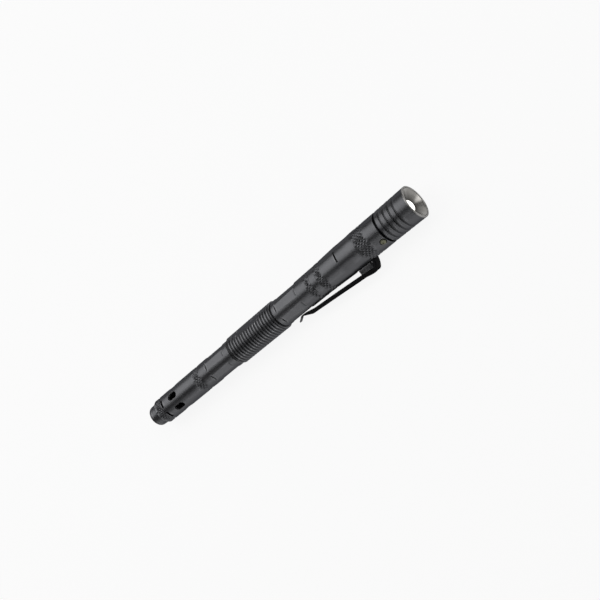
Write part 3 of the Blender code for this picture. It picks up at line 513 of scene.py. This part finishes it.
def black_oxide():
    """Black oxide on bent spring steel, with fine marks along the strip and a rubbed tip."""
    finish = Finish("black_oxide_steel", Metallic=0.9, Specular_Tint=(0.15, 0.15, 0.15, 1.0))
    grain = finish.noise(0.10, 2.0, DRAWN)
    cloud = finish.noise(3.0, 3.0)
    tip = finish.station().between(90.2 * MM, 89.4 * MM)
    # Rubbed wear at the tip, and slightly lighter edges from wear and a painted edge highlight.
    wear_and_edge_highlight = (finish.edges(0.58, 0.70) * 0.2).calculate('MAXIMUM', tip)
    base = finish.tint(cloud, (0.010, 0.010, 0.011), (0.018, 0.018, 0.019))
    finish.feed("Base Color", finish.tint(wear_and_edge_highlight, base, (0.16, 0.16, 0.16)))
    finish.feed("Roughness", 0.34 + 0.14 * grain + 0.06 * cloud)
    finish.bump(grain, 0.006, 0.4)
    return finish.material


def satin_cone():
    """Satin metal of the cone, with fine turning rings, and painted shade that darkens it from its
    lip towards its throat.
    """
    finish = Finish("satin_cone_metal", Metallic=1.0)
    rings = finish.noise(0.05, 1.0, (1.0, 0.015, 0.015))
    cloud = finish.noise(1.8, 3.0)
    # Painted shade: the cone's colour darkens from its lip towards the throat by the lens.
    lip = (finish.radius() + cloud * (1.2 * MM)).between(3.6 * MM, 6.2 * MM)
    finish.feed("Base Color", finish.tint(lip, (0.05, 0.048, 0.045), (0.26, 0.253, 0.24)))
    finish.feed("Roughness", 0.16 + 0.09 * rings + 0.06 * cloud)
    finish.bump(rings, 0.004, 0.4)
    return finish.material


def olive_button():
    """Olive anodising of the button, lighter on its edges from rubbed wear and a painted highlight.
    """
    finish = Finish("olive_anodising", Metallic=0.75)
    blast = finish.noise(0.10, 2.0)
    cloud = finish.noise(1.2, 2.0)
    # Lighter edges: rubbed wear and a painted edge highlight.
    wear_and_edge_highlight = finish.edges(0.53, 0.64)
    base = finish.tint(cloud, (0.10, 0.10, 0.065), (0.17, 0.168, 0.11))
    finish.feed("Base Color", finish.tint(wear_and_edge_highlight * 0.5, base, (0.34, 0.34, 0.27)))
    finish.feed("Roughness", 0.30 + 0.12 * blast)
    finish.bump(blast, 0.006, 0.4)
    return finish.material


def lit_lens():
    """Clear dome with the light behind it: white, a little warmer and dimmer at its edge."""
    finish = Finish("lit_lens", Metallic=0.0, Roughness=0.06, Emission_Strength=1.25, IOR=1.49)
    edge = (finish.radius() / MM).between(1.7, 2.9)
    haze = finish.noise(0.6, 2.0)
    finish.feed("Base Color", finish.tint(haze, (0.80, 0.81, 0.80), (0.88, 0.88, 0.86)))
    finish.feed("Emission Color", finish.tint(edge, (1.0, 0.995, 0.97), (0.78, 0.76, 0.68)))
    return finish.material


def drawn_steel():
    """Bright drawn steel wire and screws."""
    finish = Finish("drawn_steel", Metallic=1.0)
    grain = finish.noise(0.08, 2.0)
    cloud = finish.noise(1.0, 2.0)
    finish.feed("Base Color", finish.tint(cloud, (0.46, 0.46, 0.47), (0.60, 0.60, 0.61)))
    finish.feed("Roughness", 0.22 + 0.14 * grain)
    finish.bump(grain, 0.003, 0.4)
    return finish.material


def turned_brass():
    """Turned brass, tarnished in patches."""
    finish = Finish("turned_brass", Metallic=1.0)
    lathe = finish.noise(0.08, 2.0, TURNED)
    cloud = finish.noise(2.0, 3.0)
    finish.feed("Base Color", finish.tint(cloud, (0.52, 0.36, 0.14), (0.74, 0.56, 0.26)))
    finish.feed("Roughness", 0.24 + 0.16 * lathe + 0.08 * cloud)
    finish.bump(lathe, 0.006, 0.4)
    return finish.material


def black_rubber():
    """Matt black rubber of the seals."""
    finish = Finish("black_rubber", Metallic=0.0)
    grain = finish.noise(0.12, 3.0)
    finish.feed("Base Color", finish.tint(grain, (0.012, 0.012, 0.013), (0.030, 0.030, 0.031)))
    finish.feed("Roughness", 0.55 + 0.20 * grain)
    finish.bump(grain, 0.008, 0.5)
    return finish.material


def cell_sleeve():
    """Plain metal sleeve of the cell, with rolled lines."""
    finish = Finish("cell_sleeve", Metallic=0.9)
    rolled = finish.noise(0.15, 2.0, DRAWN)
    cloud = finish.noise(5.0, 3.0)
    finish.feed("Base Color", finish.tint(cloud, (0.50, 0.50, 0.52), (0.64, 0.64, 0.66)))
    finish.feed("Roughness", 0.26 + 0.12 * rolled)
    finish.bump(rolled, 0.005, 0.4)
    return finish.material


def green_board():
    """Green solder mask over fine tracks."""
    finish = Finish("green_solder_mask", Metallic=0.0)
    pitch = 0.7 * MM
    tracks = (finish.station() * (2.0 * math.pi / pitch)).calculate('SINE').between(0.2, 0.5)
    speck = finish.noise(0.3, 2.0)
    base = finish.tint(speck, (0.012, 0.085, 0.035), (0.02, 0.12, 0.05))
    finish.feed("Base Color", finish.tint(tracks * 0.6, base, (0.04, 0.19, 0.09)))
    finish.feed("Roughness", 0.34 + 0.12 * speck)
    finish.bump(tracks, 0.02, 0.5)
    return finish.material


def white_board():
    """White solder mask on the aluminium board under the light."""
    finish = Finish("white_solder_mask", Metallic=0.1)
    speck = finish.noise(0.25, 3.0)
    finish.feed("Base Color", finish.tint(speck, (0.66, 0.67, 0.65), (0.80, 0.81, 0.79)))
    finish.feed("Roughness", 0.38 + 0.12 * speck)
    finish.bump(speck, 0.006, 0.4)
    return finish.material


def switch_plastic():
    """Black moulded plastic of the switch."""
    finish = Finish("switch_plastic", Metallic=0.0)
    grain = finish.noise(0.15, 2.0)
    finish.feed("Base Color", finish.tint(grain, (0.015, 0.015, 0.016), (0.03, 0.03, 0.031)))
    finish.feed("Roughness", 0.40 + 0.15 * grain)
    finish.bump(grain, 0.006, 0.5)
    return finish.material


def phosphor_yellow():
    """Yellow phosphor under silicone."""
    finish = Finish("phosphor", Metallic=0.0)
    grain = finish.noise(0.08, 2.0)
    finish.feed("Base Color", finish.tint(grain, (0.80, 0.66, 0.16), (0.90, 0.80, 0.34)))
    finish.feed("Roughness", 0.30 + 0.15 * grain)
    finish.bump(grain, 0.004, 0.4)
    return finish.material


def ink_tube():
    """Translucent refill tube, dark with ink."""
    finish = Finish("ink_tube", Metallic=0.0)
    cloud = finish.noise(1.5, 3.0, (0.2, 1.0, 1.0))
    finish.feed("Base Color", finish.tint(cloud, (0.02, 0.025, 0.09), (0.05, 0.06, 0.18)))
    finish.feed("Roughness", 0.22 + 0.14 * cloud)
    finish.bump(cloud, 0.01, 0.3)
    return finish.material


# Pieces of the cap

def make_tail_plug(finish):
    """Tail plug with a rounded edge and a small turned centre."""
    outline = [(0.12, 0.0), (0.12, 0.35), (0.0, 0.5), (0.0, 3.4), (0.07, 3.75), (0.24, 4.06),
               (0.48, 4.33), (0.8, 4.53), (1.15, 4.64), (1.5, 4.68), (2.27, 4.68), (2.33, 4.62),
               (2.33, 4.0), (8.1, 4.0), (8.1, 0.0)]
    plug = turned("tail_cap_plug", outline)
    dress(plug, finish, "cap", "tail_plug", TURNED_CREASE)


def make_cap_tube(finish):
    """Cap tube: smooth tail, two knurled rings, notches, vents and milled flats."""
    tail_rows = rows(TAIL_BAND, 5.63, 5.65, 6)
    middle_rows = rows(MIDDLE_BAND, 5.73, 5.75, 6)
    outline = [(2.4, 4.3), (2.4, 4.64), (2.45, 4.72), (2.7, 4.75), (4.5, 4.82), (4.9, 4.92),
               (5.15, 5.12), (5.3, 5.46)]
    outline += tail_rows + middle_rows
    outline += [(54.3, 5.86), (54.55, 5.8), (54.7, 5.58), (54.7, CAP_BORE), (8.4, CAP_BORE),
                (8.4, 4.3)]
    cap = turned("cap_tube", outline, CAP_SIDES)
    knurl(cap, tail_rows, CAP_SIDES)
    knurl(cap, middle_rows, CAP_SIDES)
    cut(cap, flats(9.65, 10.75, floor=4.95, top=7.0, width=3.6))
    cut(cap, flats(40.2, 51.6, floor=5.57, top=7.0, ramp=4.0))
    cut(cap, flats(40.1, 40.85, floor=5.4, top=7.0))
    cut(cap, [slot_cutter(angle, station=17.25, length=5.3, width=2.85, floor=3.5, surface=5.5)
              for angle in MILLED_ANGLES])
    dress(cap, finish, "cap", "cap_barrel")


# Pieces of the writing end

def make_nib(finish):
    """Nib section: rounded mouth, tapered nose, thread and ring groove."""
    outline = [(14.0, 0.95), (14.0, 1.35), (14.25, 1.6), (18.0, 2.45), (24.0, 3.7), (28.5, 4.4),
               (29.2, 4.45)]
    outline += ribs(38.0, first=0.6, pitch=0.8, count=9, width=0.38, depth=0.16,
                    radius_at=lambda station: 4.43)
    outline += [(51.25, 4.45), (51.25, 3.95), (52.35, 3.95), (52.35, 4.45), (64.5, 4.45),
                (64.5, REFILL_BORE), (17.3, REFILL_BORE), (17.0, 0.95)]
    nib = turned("nib_nose", outline)
    dress(nib, finish, "pen_body", "nib_section", TURNED_CREASE)


def make_refill_tip(finish):
    """Metal tip of the refill, stepped, with its ball."""
    outline = [(11.5, 0.0), (11.55, 0.2), (11.7, 0.33), (11.95, 0.36), (13.6, 0.5), (14.5, 0.6),
               (14.6, 0.74), (20.4, 1.12), (20.6, 1.175), (21.0, 1.175), (21.0, 0.0)]
    tip = turned("refill_point", outline, 32)
    dress(tip, finish, "pen_body", "refill_tip", TURNED_CREASE)


def seal_ring(finish, name, node, station, radius, section=0.25):
    """Rubber ring, pressed a little flat where it sits in its groove."""
    bpy.ops.object.select_all(action='DESELECT')
    bpy.ops.mesh.primitive_torus_add(major_radius=radius * MM, minor_radius=section * MM,
                                     major_segments=72, minor_segments=14,
                                     location=(station * MM, 0.0, 0.0),
                                     rotation=(0.0, math.pi / 2.0, 0.0))
    ring = bpy.context.object
    give_name(ring, name)
    bpy.ops.object.transform_apply(location=True, rotation=True)
    seat_height = 0.4 * section
    seat_press = 0.15 * section
    inner = (radius - seat_height) * MM
    choose(ring, 'VERT', lambda point: math.hypot(point.co.y, point.co.z) < inner)
    share = 1.0 + seat_press / radius
    bpy.ops.transform.resize(value=(1.0, share, share), center_override=(0.0, 0.0, 0.0))
    bpy.ops.object.mode_set(mode='OBJECT')
    dress(ring, finish, "pen_body", node, ROUND_CREASE)


# Pieces of the grip and the body

def make_grip(finish):
    """Grip sleeve with its turned ribs and the bare milled flat."""
    outline = [(55.0, CAP_BORE), (55.0, 5.75), (55.2, 6.1), (55.3, 6.32)]
    outline += ribs(55.0, first=0.98, pitch=1.51, count=18, width=0.8, depth=0.5,
                    radius_at=line_between((55.5, 6.4), (82.25, 6.6)))
    outline += [(82.3, 6.52), (82.4, 6.05), (82.4, COUPLING_BORE), (74.4, COUPLING_BORE),
                (74.4, REFILL_BORE), (64.8, REFILL_BORE), (64.8, CAP_BORE)]
    grip = turned("grip_sleeve", outline, 96)
    cut(grip, [bar(BARE_FLAT_ANGLE, 59.1, 76.1, width=6.4, floor=5.94, top=8.0)])
    dress(grip, finish, "pen_body", "grip_barrel")


def make_body(finish):
    """Body tube: flats, two knurled rings, a notch, the clip's seat, a knurled collar, the neck."""
    rear_rows = rows(REAR_BAND, 6.30, 6.37, 4)
    front_rows = rows(FRONT_BAND, 6.44, 6.56, 5)
    collar_rows = rows(COLLAR_BAND, COLLAR_RADIUS, COLLAR_RADIUS, 8)
    outline = [(82.42, 5.72), (82.7, 5.75), (82.85, 5.98), (83.1, 6.04), (84.9, 6.04), (100.0, 6.26)]
    outline += rear_rows + [(105.85, 6.31), (108.75, 6.37)] + front_rows
    outline += [(121.3, 6.92), (122.8, 6.88), (127.3, 6.88), (129.6, 7.02), (130.2, COLLAR_RADIUS)]
    outline += collar_rows
    outline += [(143.15, COLLAR_RADIUS), (143.27, 7.0), (143.3, 6.92), (143.3, NECK_RADIUS),
                (145.15, NECK_RADIUS), (145.15, 5.4), (146.25, 5.4), (146.25, NECK_RADIUS)]
    outline += ribs(146.4, first=0.4, pitch=0.6, count=4, width=0.3, depth=0.14,
                    radius_at=lambda station: NECK_RADIUS)
    outline += [(149.0, 5.8), (149.0, BAY_BORE), (137.8, BAY_BORE), (137.8, BATTERY_BORE),
                (91.3, BATTERY_BORE), (91.3, COUPLING_BORE), (82.42, COUPLING_BORE)]
    body = turned("body_shell", outline, BODY_SIDES)
    knurl(body, rear_rows, BODY_SIDES)
    knurl(body, front_rows, BODY_SIDES)
    knurl(body, collar_rows, BODY_SIDES)
    cut(body, flats(84.9, 97.3, floor=5.86, top=8.0, ramp=4.6))
    cut(body, flats(84.8, 85.5, floor=5.66, top=8.0))
    away_from_clip = MILLED_ANGLES[2:]
    cut(body, flats(121.0, 121.8, floor=6.4, top=8.0, width=4.8, angles=away_from_clip))
    cut(body, [bar(CLIP_ANGLE, 121.5, 130.4, width=4.3, floor=6.76, top=8.2)])
    cut(body, [bar(CLIP_ANGLE, 131.15, 132.45, width=5.0, floor=5.95, top=8.2)])
    cut(body, [drill(CLIP_ANGLE, SCREW_STATION, SCREW_HOLE, floor=5.2, top=8.2)])
    cut(body, [drill(BUTTON_ANGLE, BUTTON_STATION, radius=1.5, floor=3.6, top=8.2, sides=48)])
    cut(body, [drill(BUTTON_ANGLE, BUTTON_STATION, radius=1.72, floor=6.92, top=8.2, sides=48)])
    dress(body, finish, "pen_body", "body_tube")


def stand(piece, angle, station):
    """Turns a piece made along the pen's axis to point outwards, at an angle and a station."""
    place, (turn, _, _) = around(angle, station, 0.0)
    upright = Matrix.Rotation(math.radians(-90.0), 4, 'Y')
    piece.matrix_world = Matrix.Translation(place) @ Matrix.Rotation(turn, 4, 'X') @ upright
    select_only(piece)
    bpy.ops.object.transform_apply(location=True, rotation=True)


def make_button(finish):
    """Side button: a dished crown on a stem, over its flange."""
    outline = [(3.94, 0.0), (3.94, 1.7), (4.14, 1.7), (4.14, 1.2), (7.12, 1.2), (7.26, 1.14),
               (7.35, 1.0), (7.35, 0.82), (7.27, 0.6), (7.22, 0.3), (7.20, 0.0)]
    button = turned("side_button", outline, 40)
    stand(button, BUTTON_ANGLE, BUTTON_STATION)
    dress(button, finish, "button", "switch_button", TURNED_CREASE)


# Pieces of the clip

def strip(name, outline, width_at):
    """Solid strip from its side view: stations along the pen and heights towards the clip."""
    piece = start_outline(name, *outline[0])
    draw_outline(outline + [outline[0]])
    bpy.ops.mesh.select_all(action='SELECT')
    bpy.ops.mesh.remove_doubles(threshold=MICRON)
    bpy.ops.mesh.edge_face_add()
    bpy.ops.mesh.extrude_region_move(TRANSFORM_OT_translate={"value": (0.0, MM, 0.0)})
    close_up()
    for point in piece.data.vertices:
        side = 1.0 if point.co.y > MM / 2.0 else -1.0
        point.co.y = side * width_at(point.co.x / MM) / 2.0 * MM
    choose(piece, 'FACE', lambda face: True)
    close_up()
    return piece


def to_clip_side(piece):
    """Turns a piece modelled upright to the clip's side of the pen."""
    select_only(piece)
    piece.rotation_euler = (math.radians(-CLIP_ANGLE), 0.0, 0.0)
    bpy.ops.object.transform_apply(rotation=True)


def soften(piece, width, segments):
    """Rounds every edge that bends by more than 30 degrees."""
    bpy.context.view_layer.objects.active = piece
    soft = piece.modifiers.new("soft", 'BEVEL')
    soft.width = width * MM
    soft.segments = segments
    soft.limit_method = 'ANGLE'
    soft.angle_limit = math.radians(30.0)
    soft.harden_normals = False
    bpy.ops.object.modifier_apply(modifier=soft.name)


def make_clip(finish):
    """Pocket clip: one bent strip, hollowed along its inner side, with a flared tip."""
    outer = [(132.3, 6.35), (132.3, 7.4), (131.95, 8.4), (131.4, 9.5), (130.65, 10.6),
             (130.2, 11.05), (129.7, 11.3), (129.1, 11.34), (127.4, 11.12), (126.9, 11.04),
             (124.7, 10.6), (121.0, 10.38), (116.0, 9.98), (113.0, 9.74), (109.0, 9.45),
             (95.9, 8.5), (95.3, 8.36), (91.0, 6.62), (90.4, 6.52), (89.9, 6.66), (87.8, 8.02)]
    inner = [(87.5, 7.62), (89.8, 6.2), (90.4, 6.04), (91.8, 6.16), (95.9, 6.96), (109.0, 7.82),
             (124.2, 8.98), (129.4, 9.46), (129.8, 9.3), (130.7, 7.9), (131.3, 6.9), (131.3, 6.35)]
    widths = ((87.5, 1.7), (90.4, 2.5), (95.5, 3.5), (129.5, 5.0), (132.3, 4.5))

    def width_at(station):
        for first, last in zip(widths, widths[1:]):
            if station < last[0] + 0.01:
                return line_between(first, last)(station)

    clip = strip("clip_strip", outer + inner, width_at)

    def inner_run(face):
        return face.normal.z < -0.7 and 96.0 < face.center.x / MM < 124.0

    wall = 0.55
    hollow = 0.45
    choose(clip, 'FACE', inner_run)
    bpy.ops.mesh.inset(thickness=wall * MM, use_boundary=True)
    bpy.ops.mesh.extrude_region_move(TRANSFORM_OT_translate={"value": (0.0, 0.0, hollow * MM)})
    bpy.ops.object.mode_set(mode='OBJECT')
    soften(clip, 0.09, 2)
    cut(clip, [drill(0.0, SCREW_STATION, SCREW_HEAD_HOLE, floor=8.6, top=12.6, sides=40)])
    to_clip_side(clip)
    dress(clip, finish, "clip", "clip", TURNED_CREASE)


def make_clip_block(finish):
    """Block under the clip's root, with soft edges and a counterbored hole."""
    bpy.ops.object.select_all(action='DESELECT')
    bpy.ops.mesh.primitive_cube_add(size=1.0, location=(126.6 * MM, 0.0, 7.86 * MM))
    block = bpy.context.object
    give_name(block, "clip_saddle")
    block.scale = (6.3 * MM, 3.9 * MM, 2.16 * MM)
    bpy.ops.object.transform_apply(location=True, scale=True)
    choose(block, 'VERT', lambda point: point.co.x > 127.0 * MM and point.co.z > 8.0 * MM)
    bpy.ops.transform.translate(value=(0.0, 0.0, 0.4 * MM))
    choose(block, 'FACE', lambda face: face.normal.z > 0.9)
    bpy.ops.mesh.inset(thickness=0.5 * MM)
    bpy.ops.object.mode_set(mode='OBJECT')
    soften(block, 0.2, 3)
    cut(block, [drill(0.0, SCREW_STATION, SCREW_HOLE, floor=6.0, top=10.0)])
    cut(block, [drill(0.0, SCREW_STATION, SCREW_HEAD_HOLE, floor=7.74, top=10.0)])
    to_clip_side(block)
    dress(block, finish, "pen_body", "clip_block", TURNED_CREASE)


def make_clip_screw(finish):
    """Socket-head screw in the clip's block."""
    outline = [(5.54, 0.0), (5.54, 0.55), (5.7, 0.7), (8.04, 0.7), (8.04, 1.22), (8.12, 1.3),
               (8.64, 1.3), (8.74, 1.2), (8.74, 0.62), (8.34, 0.6), (8.34, 0.0)]
    screw = turned("socket_screw", outline, 36)
    stand(screw, CLIP_ANGLE, SCREW_STATION)
    dress(screw, finish, "pen_body", "clip_screw", TURNED_CREASE)


# Pieces of the head

def make_head(finish):
    """Head shell with four turned grooves and a soft rim."""
    outline = [(144.3, SKIRT_BORE), (144.3, 6.85), (144.4, 6.98), (144.6, 7.05)]
    outline += ribs(144.3, first=2.1, pitch=2.53, count=4, width=0.8, depth=0.45,
                    radius_at=line_between((144.3, COLLAR_RADIUS), (160.0, 7.3)))
    outline += [(159.75, 7.3), (159.92, 7.27), (160.0, 7.18), (160.0, 7.05), (160.0, 6.75),
                (159.9, 6.64), (159.75, MOUTH_RADIUS), (155.1, MOUTH_RADIUS), (155.1, SINK_BORE),
                (149.3, SINK_BORE), (149.3, SKIRT_BORE)]
    head = turned("head_shell_ring", outline, 96)
    dress(head, finish, "head", "head_shell", TURNED_CREASE)


def make_cone(finish):
    """Cone round the lens: a thin lip, a gently hollowed slope and a short throat."""
    outline = [(155.4, 4.5), (155.4, 6.3), (159.3, 6.3), (159.35, 6.58), (159.72, 6.58),
               (159.82, 6.5), (159.82, 6.28), (159.7, 6.15)]
    for share in (0.12, 0.28, 0.45, 0.62, 0.8):
        outline.append((159.7 - 2.3 * share ** 0.9, 6.05 - 3.1 * share))
    outline += [(157.45, 2.95), (157.35, 2.9), (156.3, 2.9), (156.3, 4.5)]
    cone = turned("lens_cone", outline, 96)
    dress(cone, finish, "head", "lens_retainer", CONE_CREASE)


def make_lens(finish):
    """Domed lens with its flange."""
    outline = [(155.3, 0.0), (155.3, 1.9), (154.6, 1.9), (154.6, 4.2), (156.0, 4.2), (156.0, 2.6)]
    dome_steps = 12
    for step in range(dome_steps):
        turn = math.radians(90.0 * step / dome_steps)
        outline.append((157.1 + math.sin(turn), 2.6 * math.cos(turn)))
    outline.append((158.1, 0.0))
    lens = turned("domed_lens", outline, 64)
    dress(lens, finish, "head", "lens", ROUND_CREASE)


def make_contact_spring(finish):
    """Coil spring between the driver board and the light."""
    wire_radius = 0.25 * MM
    coil_radius = 1.6 * MM
    steps_in_turn = 36
    steps = 2 * steps_in_turn
    path = bpy.data.curves.new("light_spring", 'CURVE')
    path.dimensions = '3D'
    path.bevel_depth = wire_radius
    path.bevel_resolution = 3
    path.use_fill_caps = True
    line = path.splines.new('POLY')
    line.points.add(steps)
    low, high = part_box("contact_spring")
    start = low.x + wire_radius
    length = high.x - low.x - 2.0 * wire_radius
    for step in range(steps + 1):
        turn = 2.0 * math.pi * step / steps_in_turn
        line.points[step].co = (start + length * step / steps, coil_radius * math.sin(turn),
                                coil_radius * math.cos(turn), 1.0)
    wire = bpy.data.objects.new("light_spring", path)
    bpy.context.scene.collection.objects.link(wire)
    select_only(wire)
    bpy.ops.object.convert(target='MESH')
    dress(bpy.context.object, finish, "head", "contact_spring", ROUND_CREASE)


# Camera, floor and light

def make_camera():
    """Camera over the lit end, placed in metres in the pen's own axes and turned by its roll."""
    lean = math.radians(29.73)
    tilt = math.radians(39.78)
    place = (0.34975, -0.00075, 0.44815)
    along = Vector((math.cos(lean), 0.0, -math.sin(lean)))
    back = Vector((math.sin(lean), 0.0, math.cos(lean)))
    across = Vector((0.0, 1.0, 0.0))
    right = math.cos(tilt) * along - math.sin(tilt) * across
    up = math.sin(tilt) * along + math.cos(tilt) * across
    roll = Matrix.Rotation(ROLL, 4, 'X')
    turn = Matrix((right, up, back)).transposed().to_4x4()
    camera = bpy.data.objects.new("camera", bpy.data.cameras.new("camera"))
    camera.data.lens = 76.6
    camera.data.sensor_width = 36.0
    camera.data.clip_start = 0.01
    camera.matrix_world = roll @ Matrix.Translation(place) @ turn
    bpy.context.scene.collection.objects.link(camera)
    bpy.context.scene.camera = camera


def seen_directly(finish):
    """1 where the eye, a reflection or a clear piece looks straight at the surface."""
    rays = finish.node('ShaderNodeLightPath', {}, {}, "Is Camera Ray")
    seen = rays
    for name in ("Is Glossy Ray", "Is Transmission Ray"):
        seen = seen.calculate('MAXIMUM', rays.output(name))
    return seen


def make_floor():
    """White table under the pen, which keeps the pen's shadow."""
    bpy.ops.object.select_all(action='DESELECT')
    width = 6.0
    height = SOLID_BOX[0][2]
    bpy.ops.mesh.primitive_plane_add(size=width, location=(MIDDLE * MM, 0.0, height))
    floor = bpy.context.object
    floor.name = "white_table"
    finish = Finish("white_table", Base_Color=(0.9, 0.9, 0.9, 1.0), Roughness=0.9,
                    Specular_IOR_Level=0.1)
    glow = finish.node('ShaderNodeEmission', {}, {"Color": (1.0, 1.0, 1.0, 1.0), "Strength": 1.0})
    shaded = Value(finish, finish.shader.outputs[0])
    glow_share = 0.9
    mixed = finish.node('ShaderNodeMixShader', {},
                        {0: seen_directly(finish) * glow_share, 1: shaded, 2: glow})
    output = finish.tree.nodes["Material Output"]
    finish.tree.links.new(mixed.socket, output.inputs["Surface"])
    floor.data.materials.append(finish.material)


def make_world():
    """Plain surround: white at the horizon and below it, and dark overhead."""
    world = bpy.data.worlds.new("white_surround")
    world.use_nodes = True
    bpy.context.scene.world = world
    surround = Shading(world.node_tree)
    direction = surround.node('ShaderNodeTexCoord', {}, {}, "Generated")
    height = surround.node('ShaderNodeSeparateXYZ', {}, {"Vector": direction}, "Z")
    stops = ((0.05, 0.9), (0.09, 0.32), (0.36, 0.03))
    grey = surround.node('ShaderNodeValToRGB', {"stops": stops}, {"Fac": height})
    background = surround.tree.nodes["Background"]
    surround.tree.links.new(grey.socket, background.inputs["Color"])


def softbox(name, direction, distance, width, depth, radiance):
    """Flat soft light that looks at the pen's middle; its lengths are in metres."""
    lamp = bpy.data.lights.new(name, 'AREA')
    lamp.shape = 'RECTANGLE'
    lamp.size = width
    lamp.size_y = depth
    lamp.energy = radiance * math.pi * width * depth
    light = bpy.data.objects.new(name, lamp)
    away = Vector(direction).normalized()
    light.location = Vector((MIDDLE * MM, 0.0, 0.0)) + away * distance
    light.rotation_euler = away.to_track_quat('Z', 'X').to_euler()
    light.visible_camera = False
    bpy.context.scene.collection.objects.link(light)


def make_lights():
    """Large soft light over the tail, a low one past the clip, one behind, one ahead of the cone."""
    softbox("large_softbox", (-0.516, 0.36, 0.777),
            distance=0.8, width=0.9, depth=0.72, radiance=1.95)
    softbox("low_softbox", (-0.5, -0.81, 0.3),
            distance=0.9, width=0.9, depth=0.18, radiance=2.1)
    softbox("back_softbox", (0.62, 0.3, 0.72),
            distance=0.9, width=0.9, depth=0.7, radiance=1.3)
    softbox("cone_softbox", (0.975, -0.09, 0.19),
            distance=0.7, width=0.26, depth=0.26, radiance=2.6)


# The whole pen

def carry(node, material):
    """Gives a solid that stays its detailed finish."""
    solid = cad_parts[node]
    solid.data.materials.clear()
    solid.data.materials.append(material)


def main():
    bpy.ops.object.select_all(action='DESELECT')
    bpy.context.scene.view_settings.view_transform = 'Standard'
    make_camera()
    aluminium = anodised_aluminium()
    steel = drawn_steel()
    brass = turned_brass()
    rubber = black_rubber()

    make_tail_plug(aluminium)
    make_cap_tube(aluminium)
    make_nib(machined_nib())
    make_refill_tip(brass)
    make_grip(aluminium)
    make_body(aluminium)
    seal_ring(rubber, "cap_seal", "cap_o_ring", station=51.8, radius=4.4)
    seal_ring(rubber, "neck_seal", "neck_o_ring", station=145.7, radius=5.85)
    make_button(olive_button())
    make_clip(black_oxide())
    make_clip_block(aluminium)
    make_clip_screw(steel)
    make_head(aluminium)
    make_cone(satin_cone())
    make_lens(lit_lens())
    make_contact_spring(steel)

    carry("refill_tube", ink_tube())
    carry("coupling_plug", brass)
    carry("battery_spring", steel)
    carry("battery_cell", cell_sleeve())
    carry("battery_contact", brass)
    carry("driver_board", green_board())
    carry("tact_switch", switch_plastic())
    carry("heat_sink", brass)
    carry("led_board", white_board())
    carry("led_emitter", phosphor_yellow())
    carry("lens_seal", rubber)

    make_floor()
    make_world()
    make_lights()


main()
